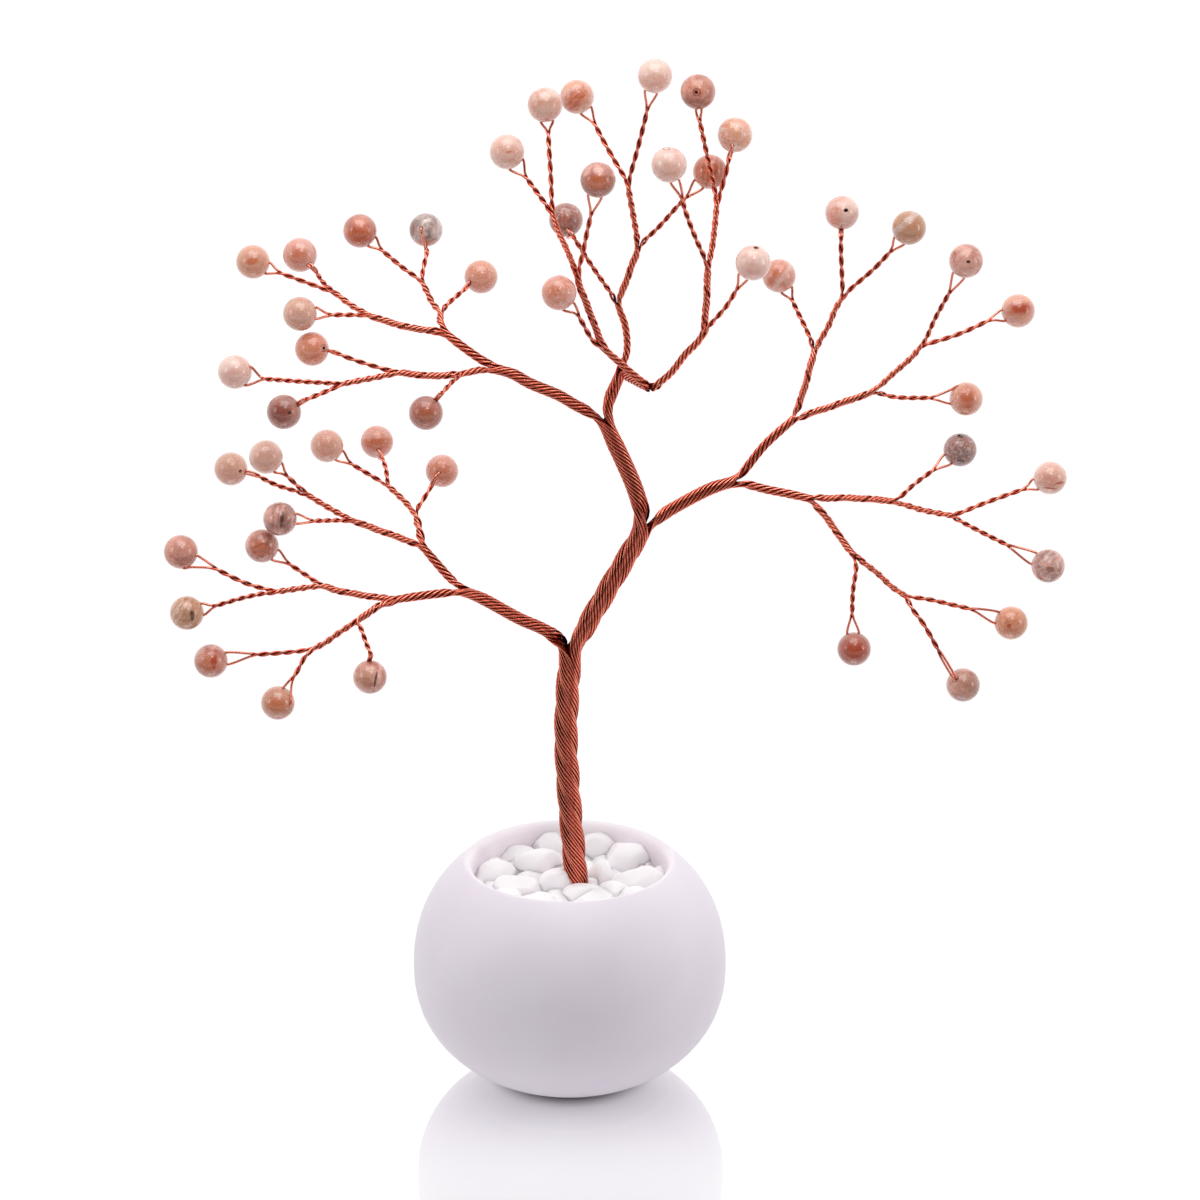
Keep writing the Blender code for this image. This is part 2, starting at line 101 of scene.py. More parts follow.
# Each fork: where it grows from, the bends on the way, and its own place
FOOT = (576, 879, 0.0)
FORKS = {
    "trunk_fork": (
        "foot", ((575, 862), (573, 842), (571, 819), (568, 781), (566, 737), (567, 703), (569, 673)),
        (572, 647, 0.0),
    ),
    "main_fork": ("trunk_fork", ((584, 629), (601, 601), (618, 572), (635, 543)), (644, 524, 0.001)),
    "upper_fork": ("main_fork", ((636, 492), (624, 463), (609, 431)), (604, 418, 0.003)),
    # Low bough on the left
    "low_1": ("trunk_fork", ((543, 629), (520, 619), (481, 598)), (463, 591, -0.002)),
    "low_2": ("low_1", ((447, 575),), (422, 546, 0.004)),
    "low_3": ("low_2", ((392, 535), (367, 526)), (351, 520, 0.003)),
    "low_4": ("low_3", ((329, 508),), (306, 494, 0.005)),
    "low_5": ("low_2", ((419, 530),), (414, 512, 0.011)),
    "low_6": ("low_5", ((402, 499),), (387, 485, 0.015)),
    "low_7": ("low_1", ((445, 593), (413, 597)), (394, 600, -0.007)),
    "low_8": ("low_7", ((361, 595), (339, 591)), (321, 586, -0.009)),
    "low_9": ("low_8", ((297, 589),), (276, 592, -0.011)),
    "low_10": ("low_7", ((379, 606),), (356, 622, -0.012)),
    "low_11": ("low_10", ((339, 633), (325, 643)), (311, 650, -0.014)),
    # High bough on the left
    "high_1": ("upper_fork", ((577, 406), (560, 396), (529, 383), (513, 374)), (495, 369, 0.005)),
    "high_2": ("high_1", ((474, 355), (455, 341)), (444, 332, 0.008)),
    "high_3": ("high_2", ((411, 328), (392, 323)), (368, 315, 0.009)),
    "high_4": ("high_3", ((352, 306),), (335, 293, 0.013)),
    "high_5": ("high_2", ((440, 320),), (440, 311, 0.013)),
    "high_6": ("high_5", ((433, 304), (427, 292)), (421, 280, 0.017)),
    "high_7": ("high_1", ((480, 370),), (462, 374, 0.002)),
    "high_8": ("high_7", ((430, 376),), (396, 373, -0.001)),
    "high_9": ("high_8", ((379, 377), (358, 381)), (343, 384, -0.004)),
    # Crown, its back half
    "crown": ("upper_fork", ((610, 398),), (621, 373, 0.005)),
    "back_1": ("crown", ((627, 350), (625, 325)), (618, 303, 0.008)),
    "back_2": ("back_1", ((624, 287), (631, 268)), (638, 246, 0.009)),
    "back_3": ("back_2", ((633, 214), (629, 192)), (628, 183, 0.011)),
    # Crown, its front half
    "front_1": ("crown", (), (651, 389, -0.010)),
    "front_2": ("front_1", ((635, 376), (620, 363)), (605, 349, -0.012)),
    "front_3": ("front_2", ((599, 337), (590, 313), (580, 287)), (577, 275, -0.012)),
    "front_4": ("front_3", ((566, 248), (558, 231)), (552, 213, -0.008)),
    "front_5": ("front_1", ((670, 374), (685, 355)), (703, 334, -0.015)),
    "front_6": ("front_5", ((707, 292),), (708, 265, -0.013)),
    "front_7": ("front_6", ((712, 248), (715, 224)), (717, 202, -0.009)),
    # Right bough
    "right_1": ("main_fork", ((665, 513), (690, 499), (715, 487)), (737, 481, 0.004)),
    "right_2": ("right_1", ((748, 466), (764, 446), (781, 430)), (794, 419, 0.008)),
    "right_3": ("right_2", ((805, 386), (812, 360)), (815, 349, 0.013)),
    "right_4": ("right_3", ((828, 327), (836, 308)), (843, 297, 0.015)),
    "right_5": ("right_2", ((812, 413), (836, 405), (853, 399)), (874, 391, 0.009)),
    "right_6": ("right_5", ((894, 373), (912, 357)), (921, 346, 0.011)),
    "right_7": ("right_1", ((764, 489), (789, 494)), (811, 499, 0.0)),
    "right_8": ("right_7", ((843, 498), (867, 499)), (896, 502, 0.004)),
    "right_9": ("right_8", ((922, 510),), (953, 516, 0.005)),
    "right_10": ("right_7", ((831, 524), (844, 543)), (856, 557, -0.006)),
    "right_11": ("right_10", ((877, 573), (892, 587)), (907, 597, -0.007)),
}

# Each bead: the fork of its twig, the bends on the way, where the twist ends, and the bead's centre
BEADS = (
    ("back_3", ((636, 155), (645, 120)), (648, 106, 0.010), (655, 76, 0.010)),
    ("front_7", ((715, 192), (709, 164), (703, 137)), (699, 118, -0.005), (698, 92, -0.004)),
    ("front_4", ((551, 181), (549, 148)), (548, 130, 0.0), (545, 105, 0.001)),
    ("back_3", ((620, 170), (605, 144)), (593, 121, 0.018), (577, 97, 0.019)),
    ("front_4", (), (524, 175, -0.004), (507, 152, -0.003)),
    ("front_7", ((722, 187), (727, 168)), (729, 158, -0.007), (735, 135, -0.003)),
    ("front_6", ((696, 239), (686, 213)), (681, 195, -0.017), (669, 165, -0.017)),
    ("back_2", ((657, 229), (678, 206)), (689, 195, 0.006), (710, 172, 0.007)),
    ("front_3", ((582, 257), (587, 233)), (592, 211, -0.016), (598, 180, -0.017)),
    ("back_1", ((596, 272), (579, 246)), (573, 236, 0.008), (566, 220, 0.013)),
    ("front_2", ((594, 342), (583, 324)), (577, 313, -0.014), (559, 293, -0.014)),
    ("front_5", ((711, 324), (726, 307)), (739, 286, -0.021), (753, 263, -0.022)),
    ("right_3", ((805, 327), (797, 311)), (791, 298, 0.019), (779, 276, 0.020)),
    ("right_4", ((842, 276), (841, 252)), (841, 236, 0.014), (842, 213, 0.018)),
    ("right_4", ((852, 288), (875, 268)), (893, 249, 0.012), (909, 228, 0.011)),
    ("right_6", ((925, 341), (935, 319)), (951, 290, 0.007), (966, 261, 0.006)),
    ("right_6", ((959, 334),), (992, 319, 0.017), (1018, 311, 0.019)),
    ("right_5", ((894, 397),), (934, 398, 0.011), (966, 399, 0.012)),
    ("right_8", ((911, 487),), (936, 468, 0.010), (960, 450, 0.013)),
    ("right_9", ((985, 503),), (1027, 488, 0.012), (1050, 478, 0.013)),
    ("right_9", ((960, 521), (977, 530)), (1011, 547, -0.001), (1048, 566, -0.003)),
    ("right_11", ((926, 599), (953, 605)), (975, 610, -0.004), (1011, 623, -0.003)),
    ("right_11", ((911, 607), (924, 625)), (941, 655, -0.014), (963, 685, -0.012)),
    ("right_10", ((856, 570), (853, 590)), (852, 618, -0.010), (854, 649, -0.011)),
    ("high_4", ((310, 284),), (277, 272, 0.017), (253, 262, 0.018)),
    ("high_4", ((323, 282),), (316, 271, 0.006), (300, 255, 0.009)),
    ("high_6", ((407, 271),), (379, 248, 0.019), (360, 231, 0.020)),
    ("high_6", ((424, 265),), (427, 252, 0.023), (426, 230, 0.027)),
    ("high_5", ((451, 301),), (465, 289, 0.019), (481, 277, 0.024)),
    ("high_3", ((354, 315),), (327, 315, 0.005), (300, 314, 0.004)),
    ("high_8", ((373, 366), (354, 360)), (336, 353, 0.001), (312, 349, 0.004)),
    ("high_9", ((306, 382), (277, 380)), (261, 379, 0.001), (235, 372, 0.002)),
    ("high_9", ((325, 392),), (305, 400, -0.012), (284, 412, -0.010)),
    ("high_7", ((453, 381),), (441, 394, -0.009), (426, 413, -0.007)),
    ("low_4", ((276, 485),), (256, 475, 0.009), (231, 469, 0.011)),
    ("low_4", (), (284, 473, 0.002), (266, 457, 0.002)),
    ("low_6", ((368, 474),), (348, 462, 0.018), (327, 446, 0.019)),
    ("low_6", ((386, 470),), (382, 458, 0.022), (377, 442, 0.027)),
    ("low_5", ((421, 503),), (431, 487, 0.017), (442, 471, 0.022)),
    ("low_3", (), (310, 521, -0.004), (280, 519, -0.005)),
    ("low_8", ((310, 578),), (286, 562, -0.004), (262, 546, -0.003)),
    ("low_9", ((245, 583),), (212, 567, -0.009), (181, 552, -0.009)),
    ("low_9", ((261, 594), (243, 598)), (212, 607, -0.015), (187, 613, -0.015)),
    ("low_11", ((282, 653),), (251, 655, -0.013), (211, 661, -0.013)),
    ("low_11", ((305, 657), (298, 670)), (291, 681, -0.018), (278, 703, -0.018)),
    ("low_10", ((361, 629), (366, 643)), (371, 655, -0.020), (370, 677, -0.018)),
)
# Forks whose bundle bulges in three lobes, as three twisted into one
LOBED = ("trunk_fork", "main_fork")

# How the two ends of the wire lead away from the bead: degrees to either side of the twig
USUAL_SPREAD = (21, 21)
SPREADS = {
    1: (20, 22), 2: (10, 9), 5: (29, 29), 7: (12, 17), 8: (20, 20), 9: (23, 23), 11: (14, 29),
    12: (13, 22),
}
# The same for wires that go in on the near side: where each end is seen to go in, in shares of the bead's
# radius to the right and up, and -1 where it goes round the far side
MOUTHS_SEEN = {
    6: ((-0.15, -0.6, 1), (-0.1, -0.9, -1)),
    10: ((0.05, -0.55, 1), (0.05, -0.95, -1)),
    14: ((-0.12, -0.96, 1), (0.03, -0.97, 1)),
    18: ((-0.55, 0.78, 1), (-0.93, -0.3, 1)),
    23: ((-0.38, 0.42, 1), (-0.5, 0.28, 1)),
    26: ((0.47, -0.62, 1), (0.6, -0.54, 1)),
    28: ((-0.3, 0.1, 1), (0.0, -0.9, -1)),
    29: ((-0.66, -0.28, 1), (-0.7, -0.43, 1)),
    30: ((0.88, 0.4, 1), (0.92, -0.3, 1)),
    31: ((0.97, -0.12, 1), (0.94, -0.06, -1)),
    32: ((0.9, 0.34, 1), (0.57, -0.8, 1)),
    33: ((0.78, 0.52, 1), (0.86, 0.38, 1)),
    34: ((0.52, 0.8, 1), (0.63, 0.72, 1)),
    35: ((0.93, -0.12, 1), (0.9, -0.28, 1)),
    38: ((0.1, -0.5, 1), (0.1, -0.93, -1)),
    39: ((-0.19, -0.1, 1), (-0.31, -0.22, 1)),
    40: ((0.92, 0.32, 1), (0.92, -0.29, 1)),
    42: ((0.94, -0.2, 1), (0.15, -0.96, 1)),
    45: ((0.3, 0.88, 1), (0.76, -0.1, 1)),
    46: ((-0.12, 0.95, 1), (0.03, 0.96, 1)),
}
# A leg runs round the bead so far from its middle, in steps, and goes on to so deep inside
HUG = 1.07
HUG_STEP = math.radians(16)
HUG_FROM = math.radians(34)
INNER_REACH = 0.7

# Holes that are seen open: bead, and where its mouth is seen, in shares of the radius right and up
OPEN_HOLES = {
    2: (-0.1, -0.02), 12: (0.15, 0.86), 14: (0.2, 0.15), 19: (-0.05, 0.88), 31: (0.74, 0.05),
    35: (0.6, -0.15),
}
HOLE_RADIUS = 0.00042
HOLE_INSIDE = 0.9
HOLE_MOUTH = 1.25
HOLE_DEPTH = 0.0012
HOLE_SIDES = 14
BEAD_SEGMENTS = 44
BEAD_RINGS = 26
# A face belongs to a bead's skin from so far out, in radii, when it faces out at least so much
SKIN_OUT = 0.985
SKIN_FACING = 0.9


def deselect():
    bpy.ops.object.select_all(action="DESELECT")


def choose(*things):
    """Select these alone, with the last one active."""
    deselect()
    for thing in things:
        thing.select_set(True)
    bpy.context.view_layer.objects.active = things[-1]


def made(name):
    """The primitive that was just added, under its own name."""
    thing = bpy.context.object
    thing.name = name
    thing.data.name = name
    return thing


def drawn(name, line):
    """A curve that runs straight from each point to the next."""
    curve = bpy.data.curves.new(name, "CURVE")
    curve.dimensions = "3D"
    spline = curve.splines.new("POLY")
    spline.points.add(len(line) - 1)
    for point, place in zip(spline.points, line):
        point.co = (*place, 1)
    thing = bpy.data.objects.new(name, curve)
    bpy.context.scene.collection.objects.link(thing)
    return thing


def copied(thing, name, matrix):
    """A copy with its own mesh, put at its place there."""
    copy = thing.copy()
    copy.data = thing.data.copy()
    copy.name = name
    copy.data.name = name
    copy.data.transform(matrix)
    bpy.context.scene.collection.objects.link(copy)
    return copy


def apply_all(thing):
    choose(thing)
    for modifier in list(thing.modifiers):
        bpy.ops.object.modifier_apply(modifier=modifier.name)


def dress(thing, finish, slot, *nodes):
    """Make a shape a piece of the object that stands for CAD nodes."""
    thing.data.materials.clear()
    thing.data.materials.append(finish)
    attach(thing, "root")
    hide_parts(*nodes)


def seen_at(across, down, away):
    """The point seen at a place in the picture, in the plane that lies `away` behind the trunk."""
    right = (across - PICTURE_SIZE / 2) / LENS
    up = (PICTURE_SIZE / 2 - down) / LENS
    sight = Vector((
        right,
        math.cos(LOOK_DOWN) + up * math.sin(LOOK_DOWN),
        up * math.cos(LOOK_DOWN) - math.sin(LOOK_DOWN),
    ))
    return EYE + sight * ((away - EYE.y) / sight.y)


def tree_place(across, down, away):
    """A place on the tree, once it is as high as it should be from its foot to its top bead's middle."""
    top = BEADS[0][3]
    return seen_at(across, down, away) * (TREE_HEIGHT / (seen_at(*top).z - seen_at(*FOOT).z))


def route(start, bends, end):
    """Points from one place to another past the bends between, with the depth shared out evenly."""
    steps = len(bends) + 1
    middle = [
        tree_place(across, down, start[2] + (end[2] - start[2]) * step / steps)
        for step, (across, down) in enumerate(bends, 1)
    ]
    return [tree_place(*start), *middle, tree_place(*end)]


def smooth_line(points, step, before=None, after=None):
    """Points about `step` apart on a smooth curve through the given ones."""
    given = [np.array(point) for point in points]
    first = np.array(before) if before is not None else 2 * given[0] - given[1]
    last = np.array(after) if after is not None else 2 * given[-1] - given[-2]
    knots = [first, *given, last]
    fine = []
    for index in range(1, len(knots) - 2):
        a, b, c, d = knots[index - 1:index + 3]
        spans = [max(np.linalg.norm(q - p), 1e-9) ** 0.5 for p, q in ((a, b), (b, c), (c, d))]
        t0, t1, t2, t3 = np.cumsum([0.0, *spans])
        for t in np.linspace(t1, t2, 24, endpoint=False):
            p = (t1 - t) / (t1 - t0) * a + (t - t0) / (t1 - t0) * b
            q = (t2 - t) / (t2 - t1) * b + (t - t1) / (t2 - t1) * c
            r = (t3 - t) / (t3 - t2) * c + (t - t2) / (t3 - t2) * d
            m = (t2 - t) / (t2 - t0) * p + (t - t0) / (t2 - t0) * q
            n = (t3 - t) / (t3 - t1) * q + (t - t1) / (t3 - t1) * r
            fine.append((t2 - t) / (t2 - t1) * m + (t - t1) / (t2 - t1) * n)
    fine.append(given[-1])
    fine = np.array(fine)
    along = np.concatenate([[0], np.cumsum(np.linalg.norm(np.diff(fine, axis=0), axis=1))])
    even = np.linspace(0, along[-1], max(3, round(along[-1] / step)) + 1)
    line = np.stack([np.interp(even, along, fine[:, axis]) for axis in range(3)], axis=1)
    return line, along[-1]


def frames_along(line):
    """For each point of a line: the way it runs, and two directions across it that don't spin."""
    ways = np.gradient(line, axis=0)
    ways /= np.linalg.norm(ways, axis=1, keepdims=True)
    across = np.array(Vector(ways[0]).orthogonal().normalized())
    first, second = [], []
    for way in ways:
        across = across - way * np.dot(across, way)
        across /= np.linalg.norm(across)
        first.append(across)
        second.append(np.cross(way, across))
    return ways, np.array(first), np.array(second)


def bundle_radius(wires):
    """A twig is its two wires side by side; in a bigger bundle they bed into each other a little."""
    if wires == 2:
        return 2 * WIRE_RADIUS
    return SNUG * WIRE_RADIUS * math.sqrt(wires / PACKING)


def lay_of(wires):
    """How far the outer wires of a bundle lean from its length."""
    return TWIG_LAY + (TRUNK_LAY - TWIG_LAY) * math.sqrt((wires - 2) / STRANDS)


def lay_length(wires):
    """The length in which a bundle turns once."""
    reach = max(bundle_radius(wires) - WIRE_RADIUS, WIRE_RADIUS)
    return 2 * math.pi * reach / math.tan(lay_of(wires))


def packed(places):
    """Pull the wires of a bundle together until they touch, seen end on."""
    gap = 2 * WIRE_RADIUS * SNUG
    places = places.copy()
    itself = np.eye(len(places), dtype=bool)
    for pull in PULLS:
        places -= pull * (places - places.mean(axis=0))
        for _ in range(2):
            apart = places[:, None] - places[None]
            far = np.linalg.norm(apart, axis=2) + itself
            push = np.where(itself, 0, np.clip(gap - far, 0, None))
            places += PUSH * (apart / far[..., None] * push[..., None]).sum(axis=1)
    return places - places.mean(axis=0)


def bundled(places, lay, lobes):
    """The outermost wires side by side round the bundle, which may bulge in lobes, and the rest inside."""
    places = packed(places)
    if len(places) <= FEW_WIRES:
        return places
    outside = bundle_radius(len(places)) - WIRE_RADIUS
    count = int(2 * math.pi * outside * math.cos(lay) / (2 * WIRE_RADIUS))
    reach = np.linalg.norm(places, axis=1)
    order = np.argsort(-reach)
    ring, rest = order[:count], order[count:]
    angles = np.arctan2(places[ring, 1], places[ring, 0])
    ring = ring[np.argsort(angles)]
    even = angles.min() + np.arange(count) * 2 * math.pi / count
    bulge = 1 - (LOBE_DEPTH if lobes else 0) * (1 - np.abs(np.cos(lobes / 2 * even))) ** LOBE_EDGE
    places[ring, 0] = outside * bulge * np.cos(even)
    places[ring, 1] = outside * bulge * np.sin(even)
    shrink = (outside - RING_BREADTH * WIRE_RADIUS) / max(reach[rest].max(), 1e-9)
    places[rest] *= min(1.0, shrink)
    return places


class Limb:
    """One bundle from a fork to the next, or one twig: its middle line, its twist, and its wires' places."""

    def __init__(self, name, start, bends, end, wires, before=None, after=None):
        self.wires = wires
        self.lay = lay_of(wires)
        pitch = lay_length(wires)
        if wires == 2:
            pitch *= 1 + UNEVEN_TWIST * math.sin(2.3 * name)
        step = min(pitch / STEPS_A_TURN, LONGEST_STEP)
        self.line, self.length = smooth_line(route(start, bends, end), step, before, after)
        self.ways, self.first, self.second = frames_along(self.line)
        self.turn = -2 * math.pi * self.length / pitch
        self.keys = []
        self.ends = None

    def flat(self, offset, index):
        """An offset in space, laid into the plane across the limb."""
        return np.array((np.dot(offset, self.first[index]), np.dot(offset, self.second[index])))

    def offset(self, key, index):
        """Where a wire lies beside the middle line, at one of its points."""
        angle = self.turn * (index / (len(self.line) - 1) - 1)
        x, y = self.ends[self.keys.index(key)]
        along_first = x * math.cos(angle) - y * math.sin(angle)
        along_second = x * math.sin(angle) + y * math.cos(angle)
        return along_first * self.first[index] + along_second * self.second[index]

    def strand(self, key):
        return np.array([self.line[index] + self.offset(key, index) for index in range(len(self.line))])


def forks_of(number):
    """The forks that a bead's wire passes, from the trunk up, and its twig."""
    chain = [number]
    fork = BEADS[number - 1][0]
    while fork != "foot":
        chain.insert(0, fork)
        fork = FORKS[fork][0]
    return chain


def wires_through():
    """How many wires run through each fork: two for each bead beyond it."""
    wires = {name: 0 for name in FORKS}
    for number in range(1, len(BEADS) + 1):
        for fork in forks_of(number)[:-1]:
            wires[fork] += 2
    return wires


def bead_directions(number):
    """A bead's centre, the way from it to its twig, and the way across that as it is seen."""
    twist_end, centre = (tree_place(*place) for place in BEADS[number - 1][2:])
    to_twig = (twist_end - centre).normalized()
    sight = (centre - EYE).normalized()
    across = to_twig.cross(sight).normalized()
    return centre, to_twig, across


def grow_limbs():
    """Every limb, from the twigs down to the trunk, with its wires' places worked out at its outer end."""
    wires = wires_through()
    branches = {name: [] for name in FORKS}
    for name, (parent, _, _) in FORKS.items():
        if parent != "foot":
            branches[parent].append(name)
    for number, (parent, _, _, _) in enumerate(BEADS, 1):
        branches[parent].append(number)
    limbs = {}

    def grow_twig(number, before):
        parent, bends, twist_end, _ = BEADS[number - 1]
        limb = Limb(number, FORKS[parent][2], bends, twist_end, 2, before)
        side = limb.flat(np.array(bead_directions(number)[2]), -1)
        side /= np.linalg.norm(side)
        limb.keys = [(number, 0), (number, 1)]
        limb.ends = np.array((side, -side)) * WIRE_RADIUS
        limbs[number] = limb

    def grow(branch, before=None):
        if branch not in FORKS:
            return grow_twig(branch, before)
        parent, bends, place = FORKS[branch]
        start = FOOT if parent == "foot" else FORKS[parent][2]
        grown = sorted(branches[branch], key=lambda name: -wires.get(name, 2))
        heavy_bends = FORKS[grown[0]][1] if grown[0] in FORKS else BEADS[grown[0] - 1][1]
        straight_on = None
        if wires.get(grown[0], 2) > HEAVIER * wires.get(grown[1], 2) and heavy_bends:
            straight_on = tree_place(*heavy_bends[0], place[2])
        limb = Limb(branch, start, bends, place, wires[branch], before, straight_on)
        limbs[branch] = limb
        for index, name in enumerate(grown):
            grow(name, limb.line[-3] if straight_on is not None and index == 0 else None)
        parts = [limbs[name] for name in grown]
        leans = [limb.flat(part.ways[1], -1) for part in parts]
        way = leans[0] - leans[1]
        way /= np.linalg.norm(way)
        reach = bundle_radius(parts[0].wires) + bundle_radius(parts[1].wires)
        total = parts[0].wires + parts[1].wires
        places = []
        for part, side, other in ((parts[0], 1, parts[1]), (parts[1], -1, parts[0])):
            centre = way * side * reach * other.wires / total
            swing = Vector(part.ways[0]).rotation_difference(Vector(limb.ways[-1]))
            for key in part.keys:
                offset = np.array(swing @ Vector(part.offset(key, 0)))
                places.append(centre + limb.flat(offset, -1))
                limb.keys.append(key)
        limb.ends = bundled(np.array(places), limb.lay, 3 if branch in LOBED else 0)

    grow("trunk_fork")
    return limbs


def eased(share):
    share = np.clip(share, 0, 1)
    return share * share * (3 - 2 * share)


def wire_path(limbs, number, side):
    """One end of a bead's wire, from the trunk's foot to the end of its twist, and what it winds round."""
    trunk, *others = forks_of(number)
    path = limbs[trunk].strand((number, side))
    heart = limbs[trunk].line
    corners = []
    below = limbs[trunk]
    for name in others:
        limb = limbs[name]
        strand = limb.strand((number, side))
        blend = min(limb.length, BLEND_RADII * bundle_radius(below.wires) + BLEND_LEAST)
        share = np.linspace(0, limb.length, len(strand)) / blend
        strand = strand + (path[-1] - strand[0]) * (1 - eased(share))[:, None]
        corners.append(len(path) - 1)
        path = np.concatenate([path, strand[1:]])
        heart = np.concatenate([heart, limb.line[1:]])
        below = limb
    return path, heart, corners


def rounded(path, corners, reach, times):
    """Ease the bends of a wire near some of its points."""
    weights = np.zeros(len(path))
    for corner in corners:
        for index in range(max(1, corner - reach), min(len(path) - 1, corner + reach + 1)):
            weights[index] = max(weights[index], 1 - abs(index - corner) / (reach + 1))
    for _ in range(times):
        middle = (path[:-2] + path[2:]) / 2
        path[1:-1] += (middle - path[1:-1]) * 0.5 * weights[1:-1, None]
    return path


def facing(right, up, centre, near=1):
    """A way out of a bead, given as it is seen: shares of its radius to the right and up."""
    sight = (centre - EYE).normalized()
    level = Vector((1, 0, 0))
    rise = level.cross(sight).normalized()
    depth = math.sqrt(max(0.0, 1 - right * right - up * up))
    return (level * right + rise * up - sight * depth * near).normalized()


def mouths_of(number):
    """The ways out of the bead in which the two ends of its wire go in."""
    centre, to_twig, across = bead_directions(number)
    if number in MOUTHS_SEEN:
        return [facing(right, up, centre, near) for right, up, near in MOUTHS_SEEN[number]]
    spreads = zip(SPREADS.get(number, USUAL_SPREAD), (1, -1))
    return [
        to_twig * math.cos(math.radians(spread)) + across * side * math.sin(math.radians(spread))
        for spread, side in spreads
    ]


def leg(number, mouth):
    """One end of the wire, from near the bead's skin, along it where the mouth lies far round, and in."""
    centre, to_twig, _ = bead_directions(number)
    turn = to_twig.angle(mouth)
    points = []
    angle = HUG_FROM
    while angle < turn - HUG_STEP / 2:
        way = to_twig.slerp(mouth, angle / turn) if turn > 0 else mouth
        points.append(centre + way * BEAD_RADIUS * HUG)
        angle += HUG_STEP
    return [*points, centre + mouth * BEAD_RADIUS, centre + mouth * BEAD_RADIUS * INNER_REACH]


def store_painted_shade_mask(wire, path, outward):
    """Store how far each spot of a wire faces out of its bundle, as the mask for the painted shade in the
    gaps and the painted highlight on the tops. The mesh starts with the two caps.
    """
    mesh = wire.data
    spots = np.empty(len(mesh.vertices) * 3)
    mesh.vertices.foreach_get("co", spots)
    spots = spots.reshape(-1, 3)
    beside = np.clip(np.arange(len(spots)) // WIRE_SIDES - CAP_RINGS, 0, len(path) - 1)
    reach = np.linalg.norm(outward, axis=1)
    way = outward / np.maximum(reach, 1e-9)[:, None]
    faced = ((spots - path[beside]) / WIRE_RADIUS * way[beside]).sum(axis=1)
    deep = np.clip(reach[beside] / (WIRE_RADIUS * FULL_PAINTED_SHADE), LEAST_PAINTED_SHADE, 1)
    # Mask for painted shade and highlight: low where a wire faces into its bundle, high where it faces out
    painted_shade_and_highlight = np.where(reach[beside] < WIRE_RADIUS / 10, 1.0, 1 - deep + deep * faced)
    mesh.attributes.new("painted_shade_and_highlight", "FLOAT", "POINT").data.foreach_set("value", painted_shade_and_highlight)


def make_wires(finish):
    """Each bead's wire: up the trunk and its twig, through the bead, and back down again."""
    limbs = grow_limbs()
    foot = np.array(tree_place(*FOOT))
    root = np.array((foot[0], foot[1], POT_FLOOR + WIRE_RADIUS))
    wires = []
    lines = []
    for number in range(1, len(BEADS) + 1):
        ends = []
        hearts = []
        for side in (0, 1):
            path, heart, corners = wire_path(limbs, number, side)
            path = rounded(path, corners, *FORK_EASE)
            spread = (path[0] - foot) * (1, 1, 0)
            low = root + spread
            down = low + (path[0] - low) * np.array((0, 0.25, 0.5, 0.75))[:, None]
            ends.append(np.concatenate([down, path]))
            hearts.append(np.concatenate([down - spread, heart]))
        mouths = mouths_of(number)
        if Vector(ends[0][-1] - ends[1][-1]).dot(mouths[0] - mouths[1]) < 0:
            mouths.reverse()
        legs = [leg(number, mouth) for mouth in mouths]
        loop = [Vector(ends[0][-1]), *legs[0], *reversed(legs[1]), Vector(ends[1][-1])]
        loop, _ = smooth_line(loop, LEG_STEP, Vector(ends[0][-3]), Vector(ends[1][-3]))
        whole = np.concatenate([ends[0][:-1], loop, ends[1][-2::-1]])
        outward = whole - np.concatenate([hearts[0][:-1], loop, hearts[1][-2::-1]])
        turn = len(ends[0]) - 1
        whole = rounded(whole, [turn, turn + len(loop) - 1], *LEG_EASE)
        wire = drawn(f"wire_{number:02d}", whole)
        wire.data.bevel_depth = WIRE_RADIUS
        wire.data.bevel_resolution = 2
        wire.data.use_fill_caps = True
        wires.append(wire)
        lines.append((whole, outward))
    choose(*wires)
    bpy.ops.object.convert(target="MESH")
    bpy.ops.object.shade_smooth_by_angle(angle=math.radians(70))
    for wire, line in zip(wires, lines):
        store_painted_shade_mask(wire, *line)
        dress(wire, finish, "copper", "wire_tree")
    deselect()


def drill(centre, mouths):
    """Round cutters for the mouths of a bead's holes, wider outwards, as one shape."""
    cones = []
    for mouth in mouths:
        deselect()
        bpy.ops.mesh.primitive_cone_add(
            vertices=HOLE_SIDES,
            radius1=HOLE_RADIUS * HOLE_INSIDE,
            radius2=HOLE_RADIUS * HOLE_MOUTH,
            depth=HOLE_DEPTH * 2,
            location=centre + mouth * BEAD_RADIUS,
            rotation=mouth.to_track_quat("Z", "Y").to_euler(),
        )
        cones.append(made("holes"))
    choose(*cones)
    bpy.ops.object.join()
    return bpy.context.object


def polish(ball, centre):
    """Let the light fall on a drilled bead as on a true ball, but not on the walls of its holes."""
    mesh = ball.data
    normals = []
    for face in mesh.polygons:
        out = face.center - centre
        on_skin = out.length > BEAD_RADIUS * SKIN_OUT and face.normal.dot(out.normalized()) > SKIN_FACING
        for loop in face.loop_indices:
            spot = mesh.vertices[mesh.loops[loop].vertex_index].co - centre
            normals.append(spot.normalized() if on_skin else face.normal.copy())
    mesh.normals_split_custom_set(normals)


def bead_slot(number):
    if number in ORANGE_BEADS:
        return "stone_orange"
    return "stone_grey" if number in GREY_BEADS else "stone_pale"


